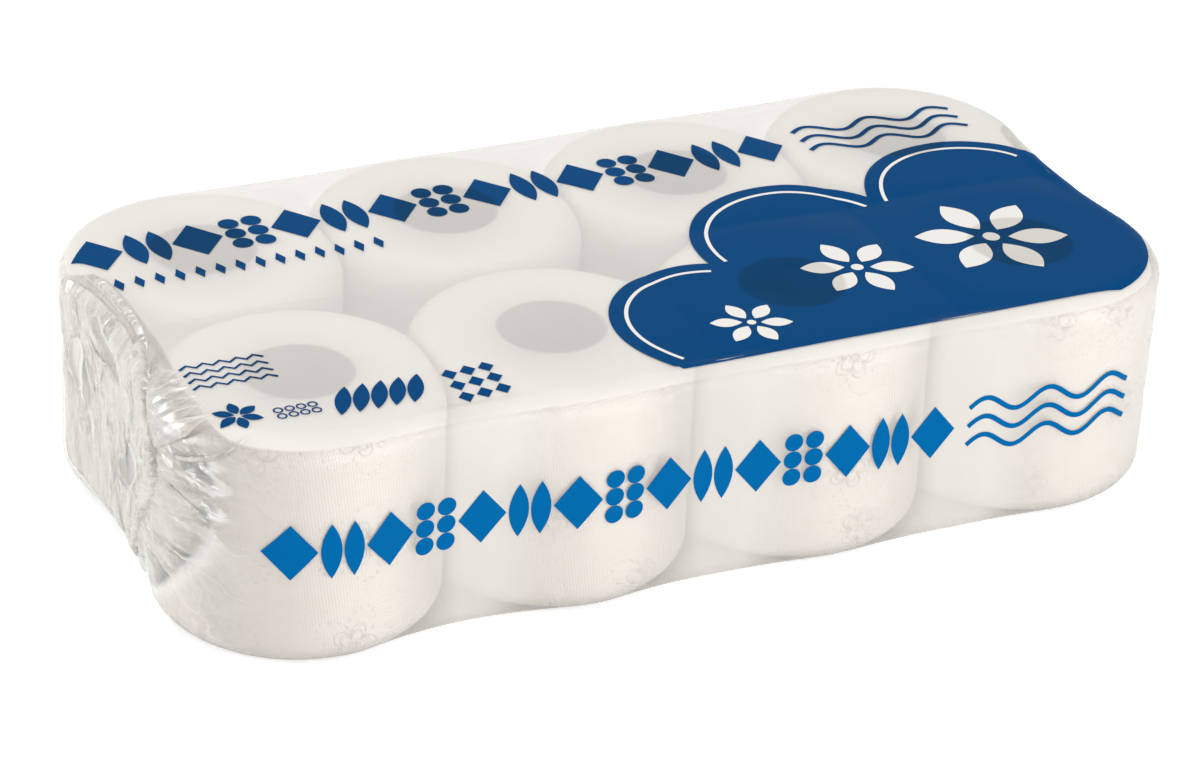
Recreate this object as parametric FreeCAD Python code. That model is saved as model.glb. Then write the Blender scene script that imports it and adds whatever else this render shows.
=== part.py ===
"""Film-wrapped pack of eight tissue rolls, two rows of four, in millimetres.

The pack lies flat with its long side along X and its front row towards -Y.
The origin is the middle of the film's bottom face.
"""
import FreeCAD, Part

import math
import os

# Rolls: one sheet width high, squashed flat against their neighbours
COLUMNS = 4
ROLL_PITCH_X = 106.0
ROLL_PITCH_Y = 109.0
ROLL_RADIUS = 57.5
ROLL_HEIGHT = 98.0
ROLL_RIM_RADIUS = 10.0
ROLL_GAP = 0.3

# Core tubes, as long as the rolls are high
CORE_OUTER_RADIUS = 21.8
CORE_WALL = 0.8
CORE_FIT = 0.2

# Film: one thin sheet, drawn inwards where it spans from roll to roll
FILM_THICKNESS = 0.35
FILM_CLEARANCE = 0.3
SIDE_BRIDGE_RADIUS = 220.0
END_BRIDGE_RADIUS = 300.0

# End closure: each layer stands proud of the one below it
PANEL_RISE = 0.5
PLEAT_RISE = 0.6
SEAL_RISE = 0.6
RIB_RISE = 0.4
PANEL_PAST_ROLL_AXIS = 33.5
PANEL_SHOULDER_DROP = 5.0
PANEL_FOOT = 5.0
PANEL_FOOT_APEX = 16.0
SEAL_WIDTH = 11.0
SEAL_TOP_Y = -8.0
SEAL_TOP_DROP = 10.0
SEAL_BEND_BEFORE_ROLL_AXIS = 4.5
SEAL_BEND_DROP = 22.0
SEAL_FOOT_PAST_ROLL_AXIS = 8.5
SEAL_FOOT = 8.0
SEAL_RIB_PITCH = 9.0
SEAL_RIB_WIDTH = 2.0
BACK_PLEATS = 6
BACK_PLEAT_LENGTH = 64.0
FRONT_PLEATS = 4
FRONT_PLEAT_LENGTH = 24.0
PLEAT_WIDTH = 5.0
PLEAT_SLANT = 7.0
SHORT_PLEAT_SHARE = 0.7
FRILL_TEETH = 5
FRILL_BEFORE_ROLL_AXIS = 20.5
FRILL_PITCH = 10.0
FRILL_TOOTH_WIDTH = 9.0
FRILL_TOOTH_HEIGHT = 7.0
FRILL_DROP = 9.0

# Where the parts of one pack lie, from the sizes above
ROLL_BASE = FILM_THICKNESS
FILM_STANDOFF = FILM_CLEARANCE + FILM_THICKNESS
PACK_HEIGHT = ROLL_BASE + ROLL_HEIGHT + FILM_STANDOFF
ROW_Y = ROLL_PITCH_Y / 2
END_COLUMN_X = ROLL_PITCH_X * (COLUMNS - 1) / 2
Z_AXIS = FreeCAD.Vector(0, 0, 1)
SAME_PLACE = 1e-6


def vec(x, y, z=0.0):
    """Short name for a point or direction."""
    return FreeCAD.Vector(x, y, z)


def column_x(column):
    """Centre of a column of rolls along X."""
    return column * ROLL_PITCH_X - END_COLUMN_X


def turned_roll():
    """Round roll with rounded rims about the Z axis, standing on z = 0."""
    rim = ROLL_RIM_RADIUS
    bore = CORE_OUTER_RADIUS + CORE_FIT
    top = ROLL_HEIGHT
    rim_middle = rim * (1 - math.sqrt(0.5))
    low_inner = vec(bore, 0, 0)
    low_rim = vec(ROLL_RADIUS - rim, 0, 0)
    low_side = vec(ROLL_RADIUS, 0, rim)
    high_side = vec(ROLL_RADIUS, 0, top - rim)
    high_rim = vec(ROLL_RADIUS - rim, 0, top)
    high_inner = vec(bore, 0, top)
    edges = [Part.LineSegment(low_inner, low_rim),
             Part.Arc(low_rim, vec(ROLL_RADIUS - rim_middle, 0, rim_middle), low_side),
             Part.LineSegment(low_side, high_side),
             Part.Arc(high_side, vec(ROLL_RADIUS - rim_middle, 0, top - rim_middle), high_rim),
             Part.LineSegment(high_rim, high_inner),
             Part.LineSegment(high_inner, low_inner)]
    profile = Part.Wire([edge.toShape() for edge in edges])
    return Part.Face(profile).revolve(vec(0, 0), Z_AXIS, 360)


def roll_cell(column, row_side):
    """Box that a roll is pressed into: walls midway to its neighbours, open towards the outside."""
    outside_reach = 2 * ROLL_RADIUS
    x = column_x(column)
    to_next = (ROLL_PITCH_X - ROLL_GAP) / 2
    left = x - (outside_reach if column == 0 else to_next)
    right = x + (outside_reach if column == COLUMNS - 1 else to_next)
    inner = row_side * (ROW_Y - (ROLL_PITCH_Y - ROLL_GAP) / 2)
    outer = row_side * (ROW_Y + outside_reach)
    front, back = sorted((inner, outer))
    return Part.makeBox(right - left, back - front, ROLL_HEIGHT, vec(left, front, ROLL_BASE))


def squashed_roll(column, row_side):
    """Tissue of one roll, flat where it meets its neighbours.

    row_side is -1 for the front row and +1 for the back row.
    """
    roll = turned_roll()
    roll.translate(vec(column_x(column), row_side * ROW_Y, ROLL_BASE))
    return roll.common(roll_cell(column, row_side))


def core_tube(column, row_side):
    """Cardboard tube that a roll is wound on."""
    foot = vec(column_x(column), row_side * ROW_Y, ROLL_BASE)
    outside = Part.makeCylinder(CORE_OUTER_RADIUS, ROLL_HEIGHT, foot)
    inside = Part.makeCylinder(CORE_OUTER_RADIUS - CORE_WALL, ROLL_HEIGHT, foot)
    return outside.cut(inside)


def arc_about(centre, radius, start, middle, end):
    """Arc given by its centre, radius and three angles in radians."""
    points = []
    for angle in (start, middle, end):
        points.append(centre + vec(math.cos(angle), math.sin(angle)) * radius)
    return Part.Arc(*points).toShape()


def bridge(centre, following, radius, margin):
    """Hollow arc that touches the circles about two neighbouring outer rolls.

    Returns where it leaves the first circle, where it reaches the second, and its edge.
    """
    across = following - centre
    is_end = abs(across.x) < abs(across.y)
    bridge_radius = (END_BRIDGE_RADIUS if is_end else SIDE_BRIDGE_RADIUS) - margin
    outwards = vec(across.y, -across.x)
    outwards.normalize()
    standoff = math.sqrt((radius + bridge_radius) ** 2 - (across.Length / 2) ** 2)
    bridge_centre = (centre + following) * 0.5 + outwards * standoff
    share = radius / (radius + bridge_radius)
    leave = centre + (bridge_centre - centre) * share
    reach = following + (bridge_centre - following) * share
    middle = bridge_centre - outwards * bridge_radius
    return leave, reach, Part.Arc(leave, middle, reach).toShape()


def wrap_outline(margin):
    """Closed plan outline of the film at z = 0, grown outwards by margin.

    Arcs round the outer rolls alternate with hollow arcs that bridge from roll to roll.
    """
    radius = ROLL_RADIUS + FILM_STANDOFF + margin
    centres = [vec(column_x(column), -ROW_Y) for column in range(COLUMNS)]
    centres += [vec(column_x(column), ROW_Y) for column in reversed(range(COLUMNS))]
    bridges = [bridge(a, b, radius, margin) for a, b in zip(centres, centres[1:] + centres[:1])]
    edges = []
    for index, centre in enumerate(centres):
        arrive = bridges[index - 1][1] - centre
        leave = bridges[index][0] - centre
        start = math.atan2(arrive.y, arrive.x)
        end = math.atan2(leave.y, leave.x)
        if end < start:
            end += 2 * math.pi
        edges.append(arc_about(centre, radius, start, (start + end) / 2, end))
        edges.append(bridges[index][2])
    return Part.Wire(edges)


def wrapped_block(margin):
    """Solid inside the film's surface grown by margin, with rounded top and bottom rims."""
    block = Part.Face(wrap_outline(margin)).extrude(vec(0, 0, PACK_HEIGHT + 2 * margin))
    block.translate(vec(0, 0, -margin))
    rims = []
    for edge in block.Edges:
        heights = [vertex.Point.z for vertex in edge.Vertexes]
        if max(heights) - min(heights) < SAME_PLACE:
            rims.append(edge)
    return block.makeFillet(ROLL_RIM_RADIUS + FILM_STANDOFF + margin, rims)


def end_prism(points, side):
    """Prism through one end of the pack from an outline of (y, z) points."""
    start_x = side * END_COLUMN_X
    corners = [vec(start_x, y, z) for y, z in points]
    wire = Part.makePolygon(corners + corners[:1])
    return Part.Face(wire).extrude(vec(side * 2 * ROLL_RADIUS, 0, 0))


def seal_route():
    """Corner points (y, z) of the seal's centre line: across the front roll's shoulder, then down."""
    return [(SEAL_TOP_Y, PACK_HEIGHT - SEAL_TOP_DROP),
            (-ROW_Y + SEAL_BEND_BEFORE_ROLL_AXIS, PACK_HEIGHT - SEAL_BEND_DROP),
            (-ROW_Y - SEAL_FOOT_PAST_ROLL_AXIS, SEAL_FOOT)]


def route_length():
    """Length of the seal's centre line."""
    route = seal_route()
    return sum(math.dist(a, b) for a, b in zip(route, route[1:]))


def route_station(distance):
    """Point of the seal's centre line at a distance from its top, and the direction there."""
    route = seal_route()
    for a, b in zip(route, route[1:]):
        span = math.dist(a, b)
        along = ((b[0] - a[0]) / span, (b[1] - a[1]) / span)
        if distance <= span or b == route[-1]:
            return (a[0] + along[0] * distance, a[1] + along[1] * distance), along
        distance -= span


def bar_outline(centre, along, length, width):
    """Rectangle about a centre, length measured along the given direction."""
    outline = []
    for forward, sideways in ((-1, -1), (1, -1), (1, 1), (-1, 1)):
        run = forward * length / 2
        step = sideways * width / 2
        outline.append((centre[0] + along[0] * run - along[1] * step,
                        centre[1] + along[1] * run + along[0] * step))
    return outline


def panel_outline():
    """Panel folded over the end, dipping to the seal's top and rising in a V from below."""
    half_width = ROW_Y + PANEL_PAST_ROLL_AXIS
    shoulder = PACK_HEIGHT - PANEL_SHOULDER_DROP
    return [(-half_width, PANEL_FOOT), (0, PANEL_FOOT_APEX), (half_width, PANEL_FOOT),
            (half_width, shoulder), (SEAL_TOP_Y, PACK_HEIGHT - SEAL_TOP_DROP), (-half_width, shoulder)]


def seal_outlines():
    """Flat heat-seal strip, one bar to each run of its centre line."""
    outlines = []
    route = seal_route()
    for a, b in zip(route, route[1:]):
        span = math.dist(a, b)
        along = ((b[0] - a[0]) / span, (b[1] - a[1]) / span)
        centre = ((a[0] + b[0]) / 2, (a[1] + b[1]) / 2)
        outlines.append(bar_outline(centre, along, span, SEAL_WIDTH))
    return outlines


def rib_outlines():
    """Short bars pressed across the seal strip."""
    outlines = []
    count = int((route_length() - SEAL_RIB_PITCH) / SEAL_RIB_PITCH)
    for index in range(count):
        centre, along = route_station(SEAL_RIB_PITCH * (index + 1))
        outlines.append(bar_outline(centre, along, SEAL_RIB_WIDTH, SEAL_WIDTH - SEAL_RIB_WIDTH))
    return outlines


def pleat_outlines(hand, count, length):
    """Narrow wedges that run from the seal strip over the rolls.

    hand is +1 for the pleats towards the back of the pack and -1 for those towards its front.
    """
    outlines = []
    for index in range(count):
        (root_y, root_z), _ = route_station(route_length() * (index + 1) / (count + 1))
        is_short = index % 2 == 1
        reach = length * (SHORT_PLEAT_SHARE if is_short else 1)
        rise = PLEAT_SLANT if is_short else -PLEAT_SLANT
        outlines.append([(root_y, root_z - PLEAT_WIDTH / 2), (root_y + hand * reach, root_z + rise),
                         (root_y, root_z + PLEAT_WIDTH / 2)])
    return outlines


def frill_outlines():
    """Saw-tooth edge of the gathered film along the front roll's shoulder."""
    outlines = []
    root = PACK_HEIGHT - FRILL_DROP
    for index in range(FRILL_TEETH):
        near = -ROW_Y + FRILL_BEFORE_ROLL_AXIS - index * FRILL_PITCH
        far = near - FRILL_TOOTH_WIDTH
        outlines.append([(near, root), (far, root), ((near + far) / 2, root + FRILL_TOOTH_HEIGHT)])
    return outlines


def end_layers(side):
    """Solids that raise the folds of one end above the wrap."""
    pleats = pleat_outlines(1, BACK_PLEATS, BACK_PLEAT_LENGTH)
    pleats += pleat_outlines(-1, FRONT_PLEATS, FRONT_PLEAT_LENGTH)
    layers = [(PANEL_RISE, [panel_outline()]), (PLEAT_RISE, pleats + frill_outlines()),
              (SEAL_RISE, seal_outlines()), (RIB_RISE, rib_outlines())]
    raised = []
    lift = 0.0
    for rise, outlines in layers:
        lift += rise
        block = wrapped_block(lift)
        for outline in outlines:
            raised.append(block.common(end_prism(outline, side)))
    return raised


def film_wrap():
    """Film round the whole pack, closed, with its end folds standing proud."""
    outside = wrapped_block(0.0)
    for side in (-1, 1):
        outside = outside.multiFuse(end_layers(side))
    return outside.cut(wrapped_block(-FILM_THICKNESS))


def write_step(shape, node):
    """Write one piece, and print how many solids it has, whether it is valid and its volume."""
    shape.exportStep("parts/" + node + ".step")
    print(node, "solids", len(shape.Solids), "valid", shape.isValid(), "volume", round(shape.Volume, 1))


def main():
    """Build and write every piece of the pack."""
    os.makedirs("parts", exist_ok=True)
    for row, row_side in (("front", -1), ("back", 1)):
        for column in range(COLUMNS):
            place = row + "_" + str(column + 1)
            write_step(squashed_roll(column, row_side), "roll_" + place)
            write_step(core_tube(column, row_side), "core_" + place)
    write_step(film_wrap(), "film")


main()
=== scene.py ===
"""Film-wrapped pack of eight tissue rolls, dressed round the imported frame. Metres, +Z up.

The pack lies on its flat bottom with its long side along X and its front row towards -Y.
"""

import logging
import math
from dataclasses import dataclass, field
from enum import Enum

import bmesh
import bpy
import numpy as np
from bpy.types import Material, Node, NodeSocket, NodeTree, Object
from mathutils import Matrix, Vector, noise
from mathutils.bvhtree import BVHTree


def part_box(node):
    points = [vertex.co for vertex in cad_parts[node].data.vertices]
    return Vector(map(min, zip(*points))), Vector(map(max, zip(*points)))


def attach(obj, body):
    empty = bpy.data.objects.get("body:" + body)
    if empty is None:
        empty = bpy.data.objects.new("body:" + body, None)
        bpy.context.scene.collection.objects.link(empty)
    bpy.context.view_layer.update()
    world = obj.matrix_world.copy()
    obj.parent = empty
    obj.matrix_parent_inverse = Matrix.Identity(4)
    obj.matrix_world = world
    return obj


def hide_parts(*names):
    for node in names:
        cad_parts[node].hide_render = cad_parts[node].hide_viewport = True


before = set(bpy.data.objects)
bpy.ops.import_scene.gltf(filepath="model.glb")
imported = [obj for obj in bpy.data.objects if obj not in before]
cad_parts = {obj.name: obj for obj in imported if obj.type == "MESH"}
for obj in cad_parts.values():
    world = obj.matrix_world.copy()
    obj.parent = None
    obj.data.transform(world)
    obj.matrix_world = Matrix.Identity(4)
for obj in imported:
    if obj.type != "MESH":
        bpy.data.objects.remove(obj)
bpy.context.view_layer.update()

MM = 0.001
LOG = logging.getLogger("roll_pack")


class Row(Enum):
    """The two rows of rolls, with the side of the pack that each lies on."""

    FRONT = -1
    BACK = 1


class End(Enum):
    """The two gathered ends of the pack."""

    LEFT = -1
    RIGHT = 1


class Side(Enum):
    """A printed side: the way in which print is laid on it, and the way that its first axis runs."""

    TOP = ((0.0, 0.0, -1.0), 1)
    FRONT = ((0.0, 1.0, 0.0), 1)
    BACK = ((0.0, -1.0, 0.0), -1)

    def start(self, a: float, b: float) -> Vector:
        """Place outside the pack over point (a, b) of the print, in metres."""
        way, run = self.value
        flat = Vector((a * run, b, 0.0)) if way[2] else Vector((a * run, 0.0, b))
        return flat - Vector(way)


def linear(colour: str) -> tuple[float, float, float, float]:
    """Turn an sRGB hex colour to linear values.

    Args:
        colour: Six hex digits after a hash.

    Returns:
        Linear red, green and blue, with an alpha of 1.
    """
    parts = []
    for start in (1, 3, 5):
        value = int(colour[start:start + 2], 16) / 255
        parts.append(value / 12.92 if value <= 0.04045 else ((value + 0.055) / 1.055) ** 2.4)
    return parts[0], parts[1], parts[2], 1.0


def add_node(tree: NodeTree, kind: str, inputs: dict | None = None, **settings) -> Node:
    """Add a shader node with its settings, values and links.

    Args:
        tree: Node tree that takes the node.
        kind: Blender's name of the node type.
        inputs: Input name or index to a value, to the output socket that feeds it, or to a node whose first
            output does.
        settings: Properties of the node itself.

    Returns:
        The new node.
    """
    node = tree.nodes.new(kind)
    for name, value in settings.items():
        setattr(node, name, value)
    for name, value in (inputs or {}).items():
        if isinstance(value, Node):
            value = value.outputs[0]
        if isinstance(value, NodeSocket):
            tree.links.new(value, node.inputs[name])
        else:
            node.inputs[name].default_value = value
    return node


def fresh_material(name: str) -> tuple[Material, NodeTree, Node]:
    """Make an empty node material.

    Args:
        name: Name of the material and how it was made.

    Returns:
        The material, its node tree and its output node.
    """
    material = bpy.data.materials.new(name)
    material.use_nodes = True
    tree = material.node_tree
    tree.nodes.clear()
    return material, tree, tree.nodes.new("ShaderNodeOutputMaterial")


@dataclass(frozen=True)
class TissuePaper:
    """Creped white tissue, pressed between steel rollers: matte, warm, with embossed dots and flowers."""

    colour: str = "#F8F5F1"
    shade: str = "#F4F0EA"
    # Real dots are about 1 mm apart. They are drawn coarser, so that they show in the render.
    dot_pitch_mm: float = 1.7
    flower_cell_mm: float = 42.0
    flower_radius_mm: float = 9.5
    outline_mm: float = 1.0

    def dot_height(self, tree: NodeTree, place: NodeSocket) -> NodeSocket:
        """Fine dots in slanting rows.

        Args:
            tree: Node tree that takes the pattern.
            place: Position on the roll's side, in millimetres.

        Returns:
            Height from -1 to 1.
        """
        scale = 2 * math.pi / self.dot_pitch_mm
        turned = add_node(tree, "ShaderNodeMapping", {
            "Vector": place, "Rotation": (0.0, 0.0, math.radians(38)), "Scale": (scale, scale, 1.0)})
        axes = add_node(tree, "ShaderNodeSeparateXYZ", {0: turned})
        waves = [add_node(tree, "ShaderNodeMath", {0: axes.outputs[n]}, operation="SINE") for n in (0, 1)]
        return add_node(tree, "ShaderNodeMath", {0: waves[0], 1: waves[1]}, operation="MULTIPLY").outputs[0]

    def flower_height(self, tree: NodeTree, place: NodeSocket) -> NodeSocket:
        """Raised outlines of a five-petalled flower, with a beaded ring, in each cell of a jittered grid.

        Args:
            tree: Node tree of the tissue.
            place: Position on the roll's side, in millimetres.

        Returns:
            Height from 0 to 1.
        """
        cell = add_node(tree, "ShaderNodeTexVoronoi", {
            "Vector": place, "Scale": 1 / self.flower_cell_mm, "Randomness": 0.45}, voronoi_dimensions="2D")
        scaled = add_node(tree, "ShaderNodeVectorMath", {
            0: place, 1: cell.outputs["Position"]}, operation="SUBTRACT")
        split = add_node(tree, "ShaderNodeSeparateXYZ", {0: scaled})
        angle = add_node(tree, "ShaderNodeMath", {0: split.outputs[1], 1: split}, operation="ARCTAN2")
        distance = add_node(tree, "ShaderNodeVectorMath", {0: scaled}, operation="LENGTH")
        lobes = add_node(tree, "ShaderNodeMath", {0: angle, 1: 2.5}, operation="MULTIPLY")
        wave = add_node(tree, "ShaderNodeMath", {0: lobes}, operation="COSINE")
        petal = add_node(tree, "ShaderNodeMath", {0: wave}, operation="ABSOLUTE")
        edge = add_node(tree, "ShaderNodeMapRange", {
            "Value": petal, "To Min": self.flower_radius_mm * 0.5, "To Max": self.flower_radius_mm})
        heights = []
        for share in (1.0, 0.72, 0.24, 1.85):
            rim = add_node(tree, "ShaderNodeMath", {0: edge, 1: share}, operation="MULTIPLY")
            away = add_node(tree, "ShaderNodeMath", {
                0: distance.outputs["Value"], 1: rim}, operation="SUBTRACT")
            size = add_node(tree, "ShaderNodeMath", {0: away}, operation="ABSOLUTE")
            line = add_node(tree, "ShaderNodeMapRange", {
                "Value": size, "From Max": self.outline_mm, "To Min": 1.0, "To Max": 0.0},
                interpolation_type="SMOOTHSTEP")
            heights.append(line.outputs[0])
        turns = add_node(tree, "ShaderNodeMath", {0: angle, 1: 36.0}, operation="MULTIPLY")
        beads = add_node(tree, "ShaderNodeMath", {0: turns}, operation="COSINE")
        beaded = add_node(tree, "ShaderNodeMath", {0: heights.pop(), 1: beads}, operation="MULTIPLY")
        total = beaded.outputs[0]
        for height in heights:
            total = add_node(tree, "ShaderNodeMath", {0: total, 1: height}, operation="MAXIMUM").outputs[0]
        return total

    def build(self) -> Material:
        """Make the tissue. UV holds millimetres round the roll and up it."""
        material, tree, output = fresh_material("embossed_creped_tissue")
        uv = add_node(tree, "ShaderNodeUVMap", uv_map="surface_mm")
        crepe = add_node(tree, "ShaderNodeTexNoise", {
            "Vector": uv, "Scale": 1 / 9.0, "Detail": 3.0}, noise_dimensions="2D")
        tone = add_node(tree, "ShaderNodeMix", {
            "Factor": crepe, "A": linear(self.colour), "B": linear(self.shade)}, data_type="RGBA")
        fibre = add_node(tree, "ShaderNodeTexNoise", {
            "Vector": uv, "Scale": 1.3, "Detail": 4.0}, noise_dimensions="2D")
        flower = self.flower_height(tree, uv.outputs[0])
        dots = self.dot_height(tree, uv.outputs[0])
        dot_bump = add_node(tree, "ShaderNodeBump", {
            "Height": dots, "Strength": 0.6, "Distance": 0.16 * MM})
        fibre_bump = add_node(tree, "ShaderNodeBump", {
            "Height": fibre, "Strength": 0.4, "Distance": 0.12 * MM, "Normal": dot_bump})
        bump = add_node(tree, "ShaderNodeBump", {
            "Height": flower, "Strength": 0.3, "Distance": 0.4 * MM, "Normal": fibre_bump})
        shader = add_node(tree, "ShaderNodeBsdfPrincipled", {
            "Base Color": tone.outputs["Result"], "Roughness": 0.93, "Specular IOR Level": 0.25,
            "Sheen Weight": 0.12, "Sheen Roughness": 0.6, "Normal": bump})
        tree.links.new(shader.outputs[0], output.inputs[0])
        return material


@dataclass(frozen=True)
class CoreBoard:
    """Grey-brown recycled board, wound in a spiral: matte, with faint winding seams."""

    colour: str = "#9C9183"
    seam: str = "#7F7568"
    seam_pitch_mm: float = 60.0

    def build(self) -> Material:
        """Make the board."""
        material, tree, output = fresh_material("spiral_wound_board")
        place = add_node(tree, "ShaderNodeTexCoord")
        fibre = add_node(tree, "ShaderNodeTexNoise", {
            "Vector": place.outputs["Object"], "Scale": 900.0, "Detail": 3.0})
        # A wave texture repeats about three times in one unit.
        bands = add_node(tree, "ShaderNodeTexWave", {
            "Vector": place.outputs["Object"], "Scale": 0.3 / (self.seam_pitch_mm * MM), "Distortion": 0.4},
            bands_direction="DIAGONAL")
        share = add_node(tree, "ShaderNodeMath", {0: bands.outputs["Fac"], 1: fibre}, operation="MULTIPLY")
        tone = add_node(tree, "ShaderNodeMix", {
            "Factor": share, "A": linear(self.colour), "B": linear(self.seam)}, data_type="RGBA")
        bump = add_node(tree, "ShaderNodeBump", {"Height": fibre, "Strength": 0.3, "Distance": 0.1 * MM})
        shader = add_node(tree, "ShaderNodeBsdfPrincipled", {
            "Base Color": tone.outputs["Result"], "Roughness": 0.88, "Normal": bump})
        tree.links.new(shader.outputs[0], output.inputs[0])
        return material


@dataclass(frozen=True)
class FloodCoat:
    """White flood coat on film: milky, so that the rolls and the core holes show through it softly."""

    colour: str = "#F7F3EE"
    cover: float = 0.62
    roughness: float = 0.36

    def shader(self, tree: NodeTree) -> Node:
        """Make the coat's shader.

        Args:
            tree: Node tree of the film that carries the coat.

        Returns:
            The shader node.
        """
        place = add_node(tree, "ShaderNodeTexCoord")
        mottle = add_node(tree, "ShaderNodeTexNoise", {
            "Vector": place.outputs["Object"], "Scale": 26.0, "Detail": 3.0, "Distortion": 0.6})
        bump = add_node(tree, "ShaderNodeBump", {"Height": mottle, "Strength": 0.25, "Distance": 1.2 * MM})
        return add_node(tree, "ShaderNodeBsdfPrincipled", {
            "Base Color": linear(self.colour), "Roughness": self.roughness, "IOR": 1.5,
            "Specular IOR Level": 0.25, "Alpha": self.cover, "Normal": bump})


@dataclass(frozen=True)
class ClearFilm:
    """Blown polyethylene film, 0.04 mm: clear where it is taut, milky and glinting where it is crumpled."""

    name: str = "blown_polyethylene_film"
    veil: str = "#F4F1EC"
    # Under about 0.28 the denoiser looks through taut film and leaves an upright line where that begins.
    taut_haze: float = 0.31
    # Extra haze where the film stands clear of the rolls: partly the film's milkiness there, partly painted
    # light that lightens the shade in the gaps between rolls.
    apart_haze_lightening_gap_shade: float = 0.45
    crumpled_haze: float = 0.42
    glow_through: float = 0.25
    crease_mm: float = 11.0
    crease_length_mm: float = 26.0
    stroke_mm: float = 1.7
    stroke_length_mm: float = 15.0
    crease_depth: float = 0.62
    gloss_roughness: float = 0.18
    fading: bool = False
    coat: FloodCoat | None = None
    tissue: TissuePaper = TissuePaper()

    def cling(self, tree: NodeTree, loose: NodeSocket, crumple: NodeSocket,
              ripple: Node) -> Node:
        """Let taut film take the tissue's emboss where it lies on a roll.

        Args:
            tree: Node tree of the film.
            loose: The attribute apart.
            crumple: The attribute crumple.
            ripple: Normal of the slack film.

        Returns:
            The bump node.
        """
        place = add_node(tree, "ShaderNodeTexCoord")
        split = add_node(tree, "ShaderNodeSeparateXYZ", {0: place.outputs["Object"]})
        side = add_node(tree, "ShaderNodeCombineXYZ", {0: split, 1: split.outputs[2]})
        millimetres = add_node(tree, "ShaderNodeVectorMath", {0: side, "Scale": 1 / MM}, operation="SCALE")
        dots = self.tissue.dot_height(tree, millimetres.outputs[0])
        flowers = self.tissue.flower_height(tree, millimetres.outputs[0])
        both = add_node(tree, "ShaderNodeMath", {0: dots, 1: 0.3, 2: flowers}, operation="MULTIPLY_ADD")
        slack = add_node(tree, "ShaderNodeMath", {0: loose, 1: crumple}, operation="ADD", use_clamp=True)
        strength = add_node(tree, "ShaderNodeMapRange", {
            "Value": slack, "From Max": 0.5, "To Min": 0.8, "To Max": 0.0})
        return add_node(tree, "ShaderNodeBump", {
            "Height": both, "Strength": strength, "Distance": 0.36 * MM, "Normal": ripple})

    def creased_place(self, tree: NodeTree) -> Node:
        """Bend the map fold_mm a little, so that no crease runs quite straight.

        Args:
            tree: Node tree of the film.

        Returns:
            The node that gives the bent map, in millimetres.
        """
        uv = add_node(tree, "ShaderNodeUVMap", uv_map="fold_mm")
        drift = add_node(tree, "ShaderNodeTexNoise", {
            "Vector": uv, "Scale": 1 / 16.0, "Detail": 2.0}, noise_dimensions="2D")
        centred = add_node(tree, "ShaderNodeVectorMath", {
            0: drift.outputs["Color"], 1: (0.5, 0.5, 0.5)}, operation="SUBTRACT")
        warp = add_node(tree, "ShaderNodeVectorMath", {
            0: centred, 1: (9.0, 14.0, 0.0)}, operation="MULTIPLY")
        return add_node(tree, "ShaderNodeVectorMath", {0: uv, 1: warp}, operation="ADD")

    def crease_glints_and_whitening(self, tree: NodeTree, along: Node, facets: Node,
              strokes: Node) -> Node:
        """Milky lines on the creases, partly stress whitening and partly painted glints, and cloudy patches
        between them.

        Args:
            tree: Node tree of the film.
            along: Place along the creases.
            facets: Way from the nearest crease.
            strokes: Fine strokes.

        Returns:
            The node that gives the haze to add where the film is crumpled.
        """
        # Painted highlight: the milky lines along the crease edges stand partly for glints, partly for the
        # film's stress whitening.
        edges = add_node(tree, "ShaderNodeMapRange", {
            "Value": facets.outputs["Distance"], "From Max": 0.055, "To Min": 0.16, "To Max": 0.0},
            interpolation_type="SMOOTHSTEP")
        line = add_node(tree, "ShaderNodeMapRange", {
            "Value": strokes, "From Min": 0.5, "From Max": 0.7, "To Min": 0.0, "To Max": 0.12})
        patches = add_node(tree, "ShaderNodeTexNoise", {
            "Vector": along, "Scale": 0.6, "Detail": 4.0, "Roughness": 0.6}, noise_dimensions="2D")
        patch = add_node(tree, "ShaderNodeMapRange", {
            "Value": patches, "From Min": 0.36, "From Max": 0.66, "To Min": -0.24, "To Max": 0.26})
        scratched = add_node(tree, "ShaderNodeMath", {0: line, 1: patch}, operation="ADD")
        return add_node(tree, "ShaderNodeMath", {0: scratched, 1: edges}, operation="ADD")

    def cloudiness(self, tree: NodeTree, crumple: NodeSocket,
                   apart: NodeSocket, crease_glints_and_whitening: Node) -> Node:
        """Haze of the film, from taut over a roll to crumpled or well clear of one, where the extra haze
        also lightens the shade in the gaps between rolls as painted light.

        Args:
            tree: Node tree of the film.
            crumple: The attribute crumple.
            apart: The attribute apart.
            crease_glints_and_whitening: Haze to add where the film is crumpled.

        Returns:
            The node that gives the haze, from 0 to 1.
        """
        base = add_node(tree, "ShaderNodeMapRange", {
            "Value": crumple, "To Min": self.taut_haze, "To Max": self.crumpled_haze}, clamp=False)
        milky = add_node(tree, "ShaderNodeMath", {
            0: apart, 1: self.apart_haze_lightening_gap_shade, 2: base}, operation="MULTIPLY_ADD")
        return add_node(tree, "ShaderNodeMath", {
            0: crease_glints_and_whitening, 1: crumple, 2: milky}, operation="MULTIPLY_ADD", use_clamp=True)

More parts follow.
